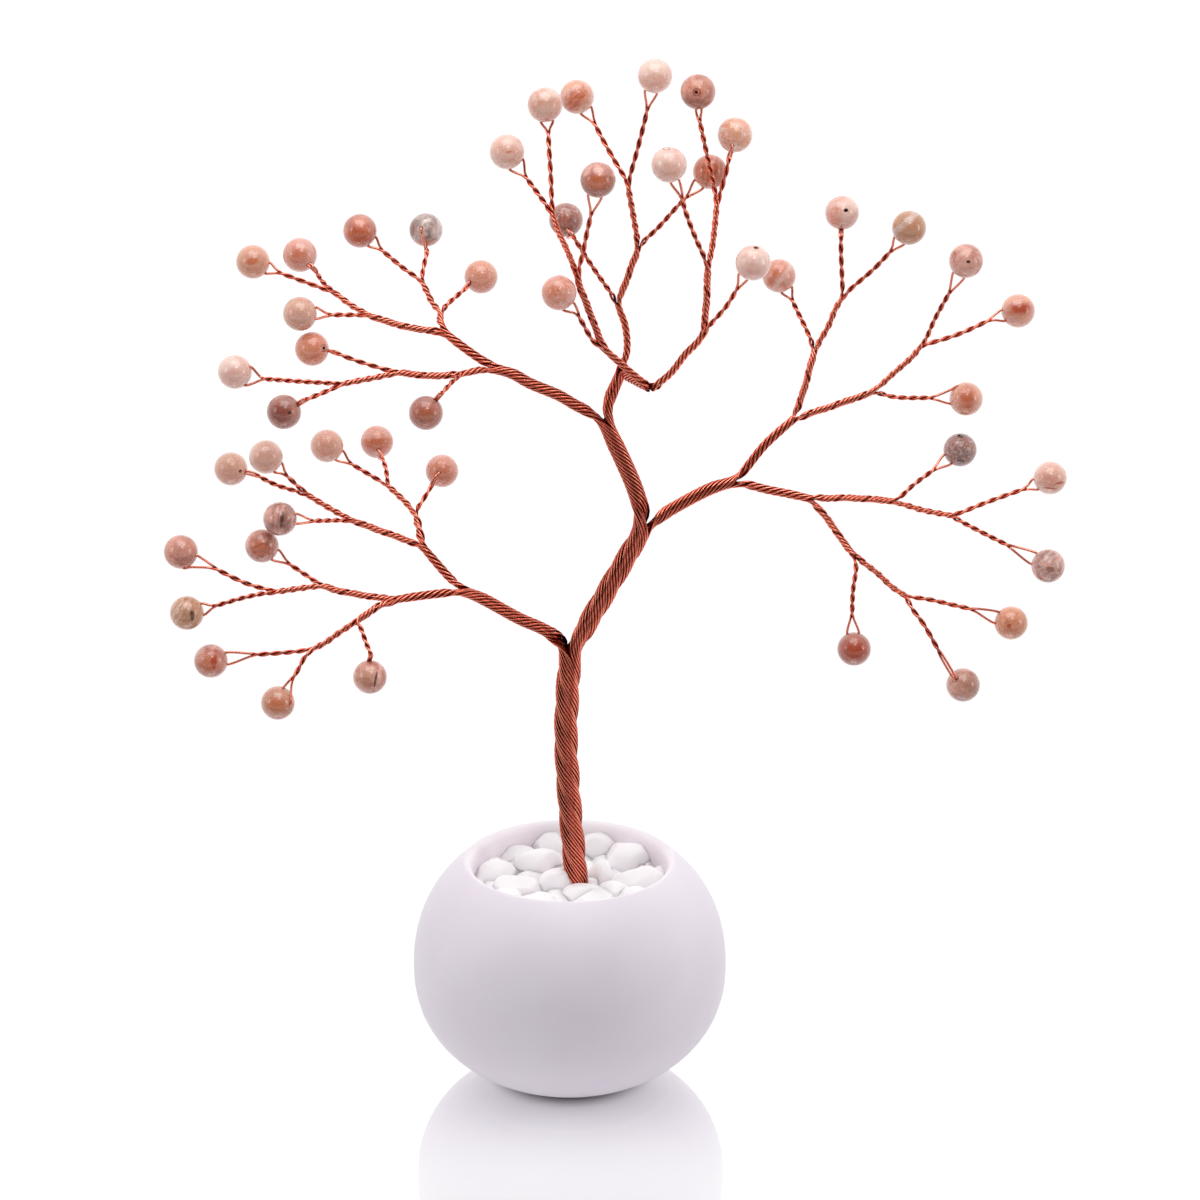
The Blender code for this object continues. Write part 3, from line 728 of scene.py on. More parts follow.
def make_beads():
    """Round beads, each drilled where its wire goes in and out and where a hole is seen open."""
    deselect()
    bpy.ops.mesh.primitive_uv_sphere_add(segments=BEAD_SEGMENTS, ring_count=BEAD_RINGS, radius=BEAD_RADIUS)
    bpy.ops.object.shade_smooth()
    blank = made("blank_bead")
    for number in range(1, len(BEADS) + 1):
        name = f"bead_{number:02d}"
        centre = tree_place(*BEADS[number - 1][3])
        ball = copied(blank, name + "_stone", Matrix.Translation(centre))
        mouths = mouths_of(number)
        if number in OPEN_HOLES:
            mouths.append(facing(*OPEN_HOLES[number], centre))
        holes = drill(centre, mouths)
        cut = ball.modifiers.new("Holes", "BOOLEAN")
        cut.operation = "DIFFERENCE"
        cut.solver = "EXACT"
        cut.use_self = True
        cut.object = holes
        apply_all(ball)
        bpy.data.objects.remove(holes)
        polish(ball, centre)
        dress(ball, stone(number, centre), bead_slot(number), name)
    bpy.data.objects.remove(blank)


def body_radius(height):
    """The pot's outer radius at a height: a rounded oval, fuller than an ellipse, cut at foot and rim."""
    if height < EQUATOR_HEIGHT:
        end_radius, reach = FOOT_RADIUS, EQUATOR_HEIGHT
    else:
        end_radius, reach = RIM_OUTER_RADIUS, POT_HEIGHT - RIM_WALL / 2 - EQUATOR_HEIGHT
    power = BODY_ROUNDNESS
    fall = (1 - (end_radius / POT_RADIUS) ** power) * (abs(height - EQUATOR_HEIGHT) / reach) ** power
    return POT_RADIUS * (1 - fall) ** (1 / power)


# The lip: it leaves the body without a crease, crests near its middle, and drops to the inner wall
LIP_CREST = 0.0259
LIP_START = (-0.741, 0.67)
LIP_STEPS = 8
# Steps of the pot's profile outside and inside, and round it
BODY_STEPS = 40
INNER_STEPS = 20
POT_TURNS = 132
# The foot's edge: how far in it starts to rise, how far out it is round, and how high
FOOT_IN = 0.0004
FOOT_OUT = 0.0003
FOOT_EDGE = 0.0002
WELD = 0.000005
# How far below the lip the inner wall still goes straight down
THROAT_DEPTH = 0.012


def lip_line():
    """The lip from the shoulder over the crest to the inner wall, as radius and height."""
    shoulder = POT_HEIGHT - RIM_WALL / 2
    start = Vector((RIM_OUTER_RADIUS, shoulder))
    crest = Vector((LIP_CREST, POT_HEIGHT))
    away = Vector(LIP_START).normalized()
    corner = start + away * ((POT_HEIGHT - shoulder) / away.y)
    over = []
    for step in range(1, LIP_STEPS + 1):
        share = step / LIP_STEPS
        over.append(start * (1 - share) ** 2 + corner * 2 * share * (1 - share) + crest * share ** 2)
    inner_radius = RIM_OUTER_RADIUS - RIM_WALL
    for step in range(1, LIP_STEPS + 1):
        turn = math.pi / 2 * step / LIP_STEPS
        radius = LIP_CREST - (LIP_CREST - inner_radius) * math.sin(turn)
        over.append(Vector((radius, shoulder + (POT_HEIGHT - shoulder) * math.cos(turn))))
    return [tuple(point) for point in over]


def make_pot(finish):
    """The pot, turned: foot, full body, rounded lip, inner wall and floor."""
    shoulder = POT_HEIGHT - RIM_WALL / 2
    outer = []
    for step in range(1, BODY_STEPS + 1):
        height = shoulder * (1 - math.cos(math.pi * step / BODY_STEPS)) / 2
        outer.append((body_radius(height), height))
    inner = []
    throat = RIM_OUTER_RADIUS - RIM_WALL
    for step in range(1, INNER_STEPS):
        height = shoulder - (shoulder - POT_FLOOR) * step / INNER_STEPS
        widened = eased((shoulder - THROAT_DEPTH / 3 - height) / THROAT_DEPTH)
        inner.append((throat + (body_radius(height) - RIM_WALL - throat) * widened, height))
    low = body_radius(POT_FLOOR) - RIM_WALL
    foot = [(0, 0), (FOOT_RADIUS * 0.6, 0), (FOOT_RADIUS - FOOT_IN, 0), (FOOT_RADIUS + FOOT_OUT, FOOT_EDGE)]
    floor = [(low, POT_FLOOR), (low * 0.5, POT_FLOOR), (0, POT_FLOOR)]
    profile = [*foot, *outer, *lip_line(), *inner, *floor]
    pot = drawn("pot_body", [(radius, 0, height) for radius, height in profile])
    choose(pot)
    bpy.ops.object.convert(target="MESH")
    bpy.ops.object.mode_set(mode="EDIT")
    bpy.ops.mesh.select_all(action="SELECT")
    bpy.ops.mesh.spin(steps=POT_TURNS, angle=2 * math.pi, center=(0, 0, 0), axis=(0, 0, 1))
    bpy.ops.mesh.select_all(action="SELECT")
    bpy.ops.mesh.remove_doubles(threshold=WELD)
    bpy.ops.mesh.normals_make_consistent(inside=False)
    bpy.ops.object.mode_set(mode="OBJECT")
    bpy.ops.object.shade_smooth()
    dress(pot, finish, "ceramic", "pot")
    deselect()


# Stones that show: seen across and down, breadth, depth and height, how they are turned, and their shape
PEBBLES = (
    ((509, 855), (0.0116, 0.0090, 0.0060), (0, 0, 10), 0),
    ((494, 876), (0.0112, 0.0096, 0.0080), (0, -14, 0), 1),
    ((517, 889), (0.0122, 0.0086, 0.0070), (0, 5, 30), 2),
    ((549, 848), (0.0108, 0.0104, 0.0092), (0, 0, 60), 3),
    ((539, 866), (0.0124, 0.0098, 0.0084), (10, -10, 120), 4),
    ((556, 886), (0.0098, 0.0092, 0.0098), (0, 15, 200), 5),
    ((584, 896), (0.0116, 0.0084, 0.0060), (0, 0, 75), 6),
    ((599, 850), (0.0104, 0.0100, 0.0094), (5, 10, 150), 3),
    ((632, 861), (0.0146, 0.0114, 0.0098), (0, 6, 260), 5),
    ((600, 876), (0.0080, 0.0086, 0.0084), (0, 0, 310), 1),
    ((637, 883), (0.0138, 0.0092, 0.0076), (0, -12, 45), 2),
    ((612, 895), (0.0086, 0.0080, 0.0066), (0, 16, 5), 0),
    ((574, 842), (0.0098, 0.0092, 0.0076), (8, 0, 90), 4),
)
HIDDEN_PEBBLES = (
    ((-0.016, -0.010), (0.0095, 0.0080, 0.0066)),
    ((-0.007, -0.013), (0.0088, 0.0092, 0.0070)),
    ((0.006, -0.011), (0.0100, 0.0078, 0.0064)),
    ((0.016, -0.009), (0.0084, 0.0090, 0.0070)),
    ((-0.001, -0.019), (0.0094, 0.0076, 0.0066)),
)
PEBBLE_RISE = 0.1
# The stones below: height of their middles, distance from the middle of the pot, how many, and how big
FILL_LAYERS = (
    (0.0486, 0.0238, 20, 0.84), (0.0472, 0.0190, 15, 1.0), (0.0470, 0.0130, 10, 1.0),
    (0.0472, 0.0060, 5, 1.0), (0.0405, 0.0225, 14, 1.1),
)
FILL_SIZE = (0.0092, 0.0082, 0.0070)
# How far the hidden stones and the fill are turned from one to the next, and how far the fill leans
HIDDEN_SPIN = 50
FILL_SPIN = 67
FILL_LEANS = (20, 15)
# A stone a metre across: the ball, the lobe on it, and how many times and how far out it is cut flat
STONE_SHAPES = 7
BALL_RADIUS = 0.5
LOBE_RADIUS = 0.36
LOBE_OUT = 0.3
GROWN_MESH = 0.05
CUTS = 7
CUT_FROM = 0.3
CUT_TO = 0.42
# Its mesh size, for those that show and for the fill, and how often each is smoothed
FINE = 0.042
COARSE = 0.076
SMOOTHED = {FINE: 3, COARSE: 1}
STONE_SEED = 21


def tumbled_stone(shape, mesh_size):
    """A ball and a smaller lobe grown together, cut flat here and there, and worn round again."""
    chance = np.random.default_rng(STONE_SEED + shape)
    deselect()
    bpy.ops.mesh.primitive_ico_sphere_add(subdivisions=4, radius=BALL_RADIUS)
    ball = bpy.context.object
    lean = chance.normal(size=3) * (1, 1, 0.4)
    lean /= np.linalg.norm(lean)
    bpy.ops.mesh.primitive_ico_sphere_add(subdivisions=4, radius=LOBE_RADIUS, location=tuple(lean * LOBE_OUT))
    lobe = bpy.context.object
    choose(lobe, ball)
    bpy.ops.object.join()
    stone_shape = made(f"stone_shape_{shape}")
    grown = stone_shape.modifiers.new("Grown together", "REMESH")
    grown.mode = "VOXEL"
    grown.voxel_size = GROWN_MESH
    apply_all(stone_shape)
    bpy.ops.object.mode_set(mode="EDIT")
    for _ in range(CUTS):
        way = chance.normal(size=3)
        way /= np.linalg.norm(way)
        place = way * chance.uniform(CUT_FROM, CUT_TO)
        bpy.ops.mesh.select_all(action="SELECT")
        bpy.ops.mesh.bisect(plane_co=tuple(place), plane_no=tuple(way), use_fill=True, clear_outer=True)
    bpy.ops.object.mode_set(mode="OBJECT")
    worn = stone_shape.modifiers.new("Worn", "REMESH")
    worn.mode = "VOXEL"
    worn.voxel_size = mesh_size
    round_off = stone_shape.modifiers.new("Rounded", "SMOOTH")
    round_off.factor = 0.5
    round_off.iterations = SMOOTHED[mesh_size]
    apply_all(stone_shape)
    bpy.ops.object.shade_smooth()
    return stone_shape


def stone_matrix(shape, centre, size, turns):
    """How a stone shape is spun, stretched to its size, leant and put in place."""
    spin = Matrix.Rotation(math.radians(turns[2]), 4, "Z")
    spots = np.array([spin @ vertex.co for vertex in shape.data.vertices])
    low, high = spots.min(axis=0), spots.max(axis=0)
    stretch = Matrix.Diagonal((*(np.array(size) / (high - low)), 1))
    lie = Matrix.Rotation(math.radians(turns[1]), 4, "Y") @ Matrix.Rotation(math.radians(turns[0]), 4, "X")
    to_middle = Matrix.Translation(-(low + high) / 2)
    return Matrix.Translation(centre) @ lie @ stretch @ to_middle @ spin


def make_pebbles(finish):
    """Tumbled stones: those that show, a ring that the near rim hides, and a fill below them."""
    placed = []
    for place, size, turns, shape in PEBBLES:
        sight = (seen_at(*place, 0) - EYE).normalized()
        height = BED_TOP + size[2] * PEBBLE_RISE
        placed.append((EYE + sight * ((height - EYE.z) / sight.z), size, turns, (shape, FINE)))
    for number, (place, size) in enumerate(HIDDEN_PEBBLES):
        centre = Vector((*place, BED_TOP + size[2] * PEBBLE_RISE))
        placed.append((centre, size, (0, 0, HIDDEN_SPIN * number), (number % STONE_SHAPES, FINE)))
    for layer, (height, radius, count, scale) in enumerate(FILL_LAYERS):
        for number in range(count):
            turn = 2 * math.pi * (number + 0.5 * layer) / count
            spot = Vector((radius * math.cos(turn), radius * math.sin(turn), height))
            lean, tip = FILL_LEANS
            turns = (lean * math.sin(number), tip * math.cos(3 * number), FILL_SPIN * number)
            size = [side * scale for side in FILL_SIZE]
            placed.append((spot, size, turns, ((number + layer) % STONE_SHAPES, COARSE)))
    shapes = {
        (shape, mesh_size): tumbled_stone(shape, mesh_size)
        for shape in range(STONE_SHAPES) for mesh_size in (FINE, COARSE)
    }
    stones = []
    for centre, size, turns, shape in placed:
        inner = body_radius(min(centre.z, POT_HEIGHT - RIM_WALL / 2)) - RIM_WALL
        reach = inner - max(size[0], size[1]) / 2
        flat = Vector((centre.x, centre.y, 0))
        if flat.length > reach:
            centre = centre - flat.normalized() * (flat.length - reach)
        matrix = stone_matrix(shapes[shape], centre, size, turns)
        stones.append(copied(shapes[shape], "pebble_stones", matrix))
    for shape in shapes.values():
        bpy.data.objects.remove(shape)
    choose(*stones)
    bpy.ops.object.join()
    pebbles = bpy.context.object
    pebbles.name = "pebble_stones"
    dress(pebbles, finish, "pebble", "pebbles")
    deselect()


class Value:
    """A socket that can be reckoned with: a sum of values adds its Math nodes."""

    def __init__(self, socket):
        self.socket = socket

    @classmethod
    def made_by(cls, tree, kind, settings, values, output=0):
        """What comes out of a new node, given its type, its settings, and its sockets' values or links."""
        node = tree.nodes.new(kind)
        for name, setting in settings.items():
            setattr(node, name, setting)
        for name, value in values.items():
            if isinstance(value, Value):
                tree.links.new(value.socket, node.inputs[name])
            else:
                node.inputs[name].default_value = value
        return cls(node.outputs[output])

    def node(self, kind, settings, values, output=0):
        return self.made_by(self.socket.id_data, kind, settings, values, output)

    def maths(self, operation, first, second=0.0):
        return self.node("ShaderNodeMath", {"operation": operation}, {0: first, 1: second})

    def __add__(self, other):
        return self.maths("ADD", self, other)

    def __sub__(self, other):
        return self.maths("SUBTRACT", self, other)

    def __mul__(self, other):
        return self.maths("MULTIPLY", self, other)

    def __rsub__(self, other):
        return self.maths("SUBTRACT", other, self)

    def __abs__(self):
        return self.maths("ABSOLUTE", self)

    def greater(self, other):
        return self.maths("MAXIMUM", self, other)

    def sine(self):
        return self.maths("SINE", self)

    def root(self):
        return self.maths("SQRT", self)

    def eased(self, low, high, to_low=0.0, to_high=1.0):
        """Softly from one level to another while this value goes from low to high."""
        values = {"Value": self, "From Min": low, "From Max": high, "To Min": to_low, "To Max": to_high}
        return self.node("ShaderNodeMapRange", {"interpolation_type": "SMOOTHSTEP"}, values)

    def parts(self):
        return [self.node("ShaderNodeSeparateXYZ", {}, {0: self}, index) for index in range(3)]

    def times(self, scales):
        return self.node("ShaderNodeVectorMath", {"operation": "MULTIPLY"}, {0: self, 1: scales})

    def noise(self, scale, detail=3.0, roughness=0.5, distortion=0.0):
        values = {"Vector": self, "Scale": scale, "Detail": detail, "Roughness": roughness}
        return self.node("ShaderNodeTexNoise", {}, {**values, "Distortion": distortion})


def mixed(first, second, share):
    """From one colour to another by a share; at least the share is a value."""
    return share.node("ShaderNodeMix", {"data_type": "RGBA"}, {0: share, 6: first, 7: second}, 2)


class Finish:
    """A material: its shader, and the place on the piece."""

    def __init__(self, name):
        self.material = bpy.data.materials.new(name)
        self.material.use_nodes = True
        self.tree = self.material.node_tree
        self.shader = self.tree.nodes["Principled BSDF"]
        self.place = Value.made_by(self.tree, "ShaderNodeTexCoord", {}, {}, "Object")

    def set(self, **sockets):
        """Numbers and colours that are the same all over, by the shader's socket names."""
        for name, value in sockets.items():
            self.shader.inputs[name.replace("_", " ")].default_value = value

    def vary(self, socket, value):
        self.tree.links.new(value.socket, self.shader.inputs[socket])

    def roughen(self, height, strength, distance):
        values = {"Height": height, "Strength": strength, "Distance": distance}
        self.vary("Normal", height.node("ShaderNodeBump", {}, values))


def linear(colour, depth=1.0):
    """A colour as it looks on screen (0 to 255), as the light values that shaders use, perhaps deepened."""
    light = [((part / 255 + 0.055) / 1.055) ** 2.4 if part > 10 else part / 255 / 12.92 for part in colour]
    return (*(part ** depth for part in light), 1)


def copper():
    """Bright new copper, redder in places, with painted shade in the gaps between the wires of a bundle and a
    painted highlight where a wire faces straight out.
    """
    finish = Finish("copper_wire")
    place = finish.place
    finish.set(Metallic=1.0)
    tarnish = place.noise(110.0, 3.0).eased(0.42, 0.72)
    painted_shade_and_highlight = Value.made_by(finish.tree, "ShaderNodeAttribute", {"attribute_name": "painted_shade_and_highlight"}, {}, "Fac")
    flank = mixed(linear((216, 92, 68)), linear((192, 72, 50)), tarnish)
    # Painted shade: dark copper where a wire faces into the gaps of its bundle
    colour = mixed(linear((94, 20, 13)), flank, painted_shade_and_highlight.eased(0.3, 0.88))
    # Painted highlight: pale copper where a wire faces straight out of its bundle
    finish.vary("Base Color", mixed(colour, linear((248, 164, 140)), painted_shade_and_highlight.eased(0.8, 1.0) * 0.75))
    finish.vary("Roughness", place.noise(900.0, 2.0).eased(0.2, 0.8, 0.2, 0.3))
    return finish.material


# Painted light on the inside of the pot, which is made paler where its walls lie in shade: within these
# distances from its middle, and above these heights
PAINTED_LIGHT_REACH = (0.0262, 0.0243)
PAINTED_LIGHT_RISE = (0.004, 0.006)


def ceramic():
    """White ceramic with a soft lilac cast and an eggshell skin, and painted light: paler inside the pot,
    where its walls lie in shade.
    """
    finish = Finish("white_ceramic")
    place = finish.place
    finish.set(Subsurface_Weight=0.5, Subsurface_Radius=(1.0, 0.95, 0.98), Subsurface_Scale=0.004)
    cloud = place.noise(26.0, 4.0).eased(0.3, 0.7)
    right, away, up = place.parts()
    inside = (right * right + away * away).root().eased(*PAINTED_LIGHT_REACH) * up.eased(*PAINTED_LIGHT_RISE)
    skin = mixed(linear((238, 231, 240)), linear((231, 223, 233)), cloud)
    # Painted light: paler ceramic inside the pot, where the walls lie in shade
    finish.vary("Base Color", mixed(skin, linear((250, 242, 248)), inside))
    finish.vary("Roughness", place.noise(400.0, 3.0).eased(0.3, 0.7, 0.42, 0.52))
    finish.roughen(place.noise(1400.0, 3.0) * 0.6 + place.noise(220.0, 2.0), 0.06, 0.00015)
    return finish.material


def marble():
    """White tumbled stone that light goes some way into."""
    finish = Finish("white_marble")
    place = finish.place
    finish.set(Subsurface_Weight=0.7, Subsurface_Radius=(1.0, 0.95, 0.95), Subsurface_Scale=0.003)
    cloud = place.noise(120.0, 5.0, 0.55, 0.4).eased(0.45, 0.8)
    finish.vary("Base Color", mixed(linear((255, 250, 254)), linear((249, 241, 247)), cloud))
    finish.vary("Roughness", place.noise(300.0, 3.0).eased(0.3, 0.7, 0.34, 0.5))
    finish.roughen(place.noise(500.0, 4.0), 0.1, 0.0002)
    return finish.material


# Stone colours as they look on screen
TONES = {
    "cream": (246, 216, 204), "pale_pink": (240, 200, 188), "beige": (226, 184, 164), "pink": (232, 180, 166),
    "peach": (236, 180, 154), "salmon": (232, 164, 142), "orange": (220, 132, 92), "rust": (196, 88, 50),
    "tan": (212, 162, 132), "olive": (198, 152, 122), "brown": (160, 100, 78), "chestnut": (160, 80, 58),
    "rosy": (198, 134, 118), "mauve": (180, 132, 122), "grey": (166, 138, 132), "pearl": (226, 206, 200),
    "umber": (84, 50, 42),
}
STONE_DEPTH = 1.18
# How strongly each kind of mark shows
STRENGTHS = {
    "patch": 0.72, "half": 0.7, "band": 0.55, "grain": 0.62, "streaks": 0.5, "specks": 0.6, "dot": 0.95,
    "crack": 0.8, "ring": 0.8, "cast": 0.4,
}
ORANGE_BEADS = (4, 8, 9, 17, 25, 31, 38, 39, 41, 45)
GREY_BEADS = (10, 19, 23, 24, 28, 33, 34)
# Each bead: its tone, its clouds, and its marks as seen: kind, tone, place right and up, half its length
# and width in shares of the bead's radius, and the lean of its length from level, in degrees
# The dark dots of beads 12, 14, 19 and 31 lie on their open holes: painted shade in the holes
BEAD_LOOKS = {
    1: ("cream", "pale_pink", ("cast", "peach", -0.1, -0.35, 0.7, 0.45, 0)),
    2: ("rosy", "salmon", ("half", "brown", 0, -0.5, 1, 0.4, -12),
        ("cast", "peach", 0.2, 0.4, 0.6, 0.3, 20), ("ring", "chestnut", -0.1, -0.02, 0.2, 0.2, 0)),
    3: ("pink", "cream", ("patch", "cream", 0.05, -0.3, 0.6, 0.35, 10),
        ("cast", "tan", 0, 0, 0.8, 0.6, 0)),
    4: ("peach", "pale_pink", ("patch", "orange", -0.15, -0.25, 0.85, 0.45, 50),
        ("streaks", "rust", -0.15, -0.15, 0.9, 0.5, 50)),
    5: ("pale_pink", "cream", ("crack", "orange", 0.15, 0, 0.22, 0.08, 10),
        ("cast", "peach", 0, 0, 0.8, 0.7, 0)),
    6: ("peach", "cream", ("grain", "orange", 0, 0, 1, 1, 0)),
    7: ("pale_pink", "cream", ("cast", "peach", 0.1, -0.3, 0.6, 0.4, 0),
        ("ring", "brown", -0.15, 0.9, 0.18, 0.08, 0)),
    8: ("rosy", "salmon", ("patch", "orange", -0.05, -0.05, 0.8, 0.75, 0),
        ("streaks", "chestnut", 0, 0, 0.9, 0.8, 80)),
    9: ("rosy", "pink", ("half", "brown", 0, 0.2, 1, 0.12, 0), ("patch", "orange", 0, -0.15, 0.7, 0.4, 0)),
    10: ("mauve", "rosy", ("streaks", "brown", 0, -0.2, 0.9, 0.65, 88),
        ("specks", "pearl", 0, 0.5, 0.8, 0.4, 0)),
    11: ("salmon", "pink", ("patch", "orange", -0.3, 0.1, 0.5, 0.35, 25),
        ("specks", "cream", 0.35, 0, 0.6, 0.6, 0)),
    # Its dark dot is painted shade in the open hole
    12: ("pale_pink", "cream", ("cast", "pink", 0, -0.4, 0.8, 0.4, 0),
        ("dot", "brown", 0.15, 0.84, 0.16, 0.09, 0)),
    13: ("salmon", "pink", ("patch", "orange", -0.35, 0, 0.9, 0.16, 58),
        ("band", "cream", 0.15, -0.1, 1, 0.12, 55)),
    # Its dark dot is painted shade in the open hole
    14: ("pink", "pale_pink", ("patch", "salmon", -0.4, -0.2, 0.6, 0.4, 50),
        ("patch", "cream", 0.35, 0.35, 0.7, 0.45, 45), ("dot", "umber", 0.2, 0.15, 0.1, 0.1, 0)),
    15: ("olive", "tan", ("patch", "tan", 0.2, -0.2, 0.7, 0.6, 0),
        ("band", "pearl", -0.25, 0.32, 1, 0.16, 42)),
    16: ("pink", "rosy", ("specks", "beige", 0, 0.1, 1.2, 1.2, 0),
        ("dot", "umber", 0.02, -0.05, 0.12, 0.09, 0)),
    17: ("peach", "pink", ("patch", "rust", 0.05, 0.12, 0.75, 0.38, 6),
        ("patch", "rust", 0.1, 0.15, 0.5, 0.22, 4)),
    18: ("peach", "pink", ("patch", "orange", 0, 0, 0.75, 0.5, 90), ("cast", "rust", 0, 0, 0.6, 0.3, 90)),
    # Its dark dot near the top is painted shade in the open hole
    19: ("mauve", "grey", ("specks", "pearl", 0.1, 0.1, 1, 0.9, 0),
        ("crack", "umber", -0.03, -0.68, 0.24, 0.12, 0), ("dot", "umber", -0.05, 0.8, 0.2, 0.08, 0)),
    20: ("pale_pink", "cream", ("cast", "orange", 0.1, 0, 0.8, 0.7, 20),
        ("specks", "rust", 0.4, -0.3, 0.6, 0.16, 0), ("crack", "rust", 0.5, -0.3, 0.3, 0.07, 8),
        ("crack", "rust", -0.1, -0.62, 0.4, 0.05, -6)),
    21: ("mauve", "pink", ("streaks", "pearl", 0, 0.2, 0.95, 0.7, 40),
        ("crack", "brown", 0, -0.2, 0.3, 0.16, 0)),
    22: ("peach", "tan", ("cast", "orange", 0, 0, 0.9, 0.8, 0),
        ("crack", "rust", -0.25, -0.2, 0.14, 0.12, 60)),
    23: ("mauve", "pink", ("cast", "tan", 0, -0.05, 0.8, 0.7, 0)),
    24: ("mauve", "rosy", ("patch", "rust", 0, 0, 0.8, 0.62, 0), ("cast", "rust", 0, 0, 0.5, 0.4, 0)),
    25: ("peach", "pink", ("cast", "tan", 0, 0, 0.9, 0.8, 0),
        ("crack", "orange", 0.05, 0.02, 0.36, 0.22, 25)),
    26: ("pink", "salmon", ("patch", "orange", 0, -0.05, 0.5, 0.42, 0)),
    27: ("rosy", "salmon", ("patch", "orange", 0, -0.25, 0.8, 0.55, 0),
        ("cast", "rust", 0, -0.25, 0.6, 0.4, 0)),
    28: ("pearl", "grey", ("crack", "brown", -0.85, 0.05, 0.5, 0.22, 90),
        ("half", "orange", 0, -0.62, 1, 0.15, 0)),
    29: ("salmon", "pink", ("cast", "peach", 0.1, 0.1, 0.8, 0.7, 30)),
    30: ("beige", "pink", ("grain", "tan", 0, 0, 1, 1, 70)),
    # Its dark dot is painted shade in the open hole
    31: ("salmon", "peach", ("cast", "orange", -0.1, 0, 1, 0.8, 0),
        ("ring", "chestnut", 0.74, 0.05, 0.15, 0.2, 0), ("dot", "umber", 0.74, 0.05, 0.07, 0.09, 0)),
    32: ("cream", "pale_pink", ("cast", "pink", -0.1, -0.3, 0.7, 0.4, 20)),
    33: ("mauve", "rosy", ("patch", "chestnut", -0.15, 0, 0.65, 0.6, 0),
        ("dot", "umber", 0.42, -0.05, 0.1, 0.09, 0)),
    34: ("rosy", "mauve", ("patch", "brown", -0.05, 0.05, 0.6, 0.45, 10),
        ("cast", "orange", 0, 0, 0.7, 0.5, 0)),
    35: ("beige", "pink", ("grain", "tan", 0, 0, 1, 1, 30)),
    36: ("pale_pink", "beige", ("cast", "peach", 0, -0.2, 0.8, 0.6, 0)),
    37: ("beige", "pink", ("cast", "peach", 0.1, 0, 0.9, 0.7, 0)),
    38: ("salmon", "pink", ("band", "orange", 0, 0, 1, 0.2, 4), ("cast", "orange", 0, -0.1, 0.7, 0.35, 0)),
    39: ("salmon", "pink", ("cast", "orange", 0, -0.1, 0.8, 0.6, 0)),
    40: ("mauve", "pink", ("streaks", "brown", 0.1, 0.1, 0.9, 0.5, 86),
        ("crack", "umber", 0.2, 0, 0.5, 0.1, 84)),
    41: ("rosy", "pink", ("patch", "orange", 0, -0.05, 0.6, 0.45, 0),
        ("streaks", "brown", 0.1, 0, 0.6, 0.4, 20)),
    42: ("rosy", "salmon", ("cast", "pink", 0, 0.2, 0.8, 0.6, 0)),
    43: ("tan", "olive", ("streaks", "cream", -0.4, 0.2, 0.9, 0.5, 60),
        ("crack", "umber", 0.42, -0.15, 0.3, 0.12, 88)),
    44: ("rosy", "pink", ("patch", "orange", 0, -0.1, 0.62, 0.55, 0),
        ("crack", "rust", 0.3, 0.05, 0.5, 0.16, 86)),
    45: ("rosy", "pink", ("patch", "tan", 0, 0, 0.9, 0.85, 0), ("patch", "orange", 0, -0.1, 0.6, 0.45, 0)),
    46: ("rosy", "pink", ("cast", "tan", -0.2, -0.1, 0.7, 0.7, 0),
        ("crack", "umber", 0.4, -0.1, 0.48, 0.07, 80)),
}


def mark_on(seen, ragged, kind, spot, size, lean):
    """How far a mark covers the bead, as a value from 0 to 1. Marks are on the side that is seen."""
    right, away, up = seen.parts()
    turn = math.radians(lean)
    cos, sin = math.cos(turn), math.sin(turn)
    along = right * cos + up * sin - (spot[0] * cos + spot[1] * sin)
    across = up * cos - right * sin - (spot[1] * cos - spot[0] * sin)
    near = away.eased(0.05, -0.2)
    if kind == "half":
        return (across + ragged * size[1]).eased(0.1, -0.1)
    if kind == "band":
        return abs(across + ragged * 0.25).eased(size[1] * 1.5, size[1] * 0.7) * near
    if kind == "grain":
        grain = seen.node("ShaderNodeMapping", {}, {"Vector": seen, "Rotation": (0, turn, 0)})
        return grain.times((2.5, 2.5, 12.0)).noise(1.0, 4.0, 0.65).eased(0.48, 0.7) * 0.8
    reach = along * along * (1 / size[0] ** 2) + across * across * (1 / size[1] ** 2)
    if kind == "dot":
        return reach.eased(1.3, 0.7) * near
    if kind == "ring":
        return abs(reach - 1).eased(0.7, 0.1) * near
    if kind == "crack":
        return (reach + ragged * 2.2).eased(1.4, 0.6) * near
    inside = (reach + ragged * 1.7).eased(1.9, 0.15) * near
    if kind == "streaks":
        return inside * (across * 19.0 + ragged * 11.0).sine().eased(-0.9, 1.0)
    if kind == "specks":
        return inside * seen.noise(5.5, 3.0, 0.6).eased(0.53, 0.62)
    return inside


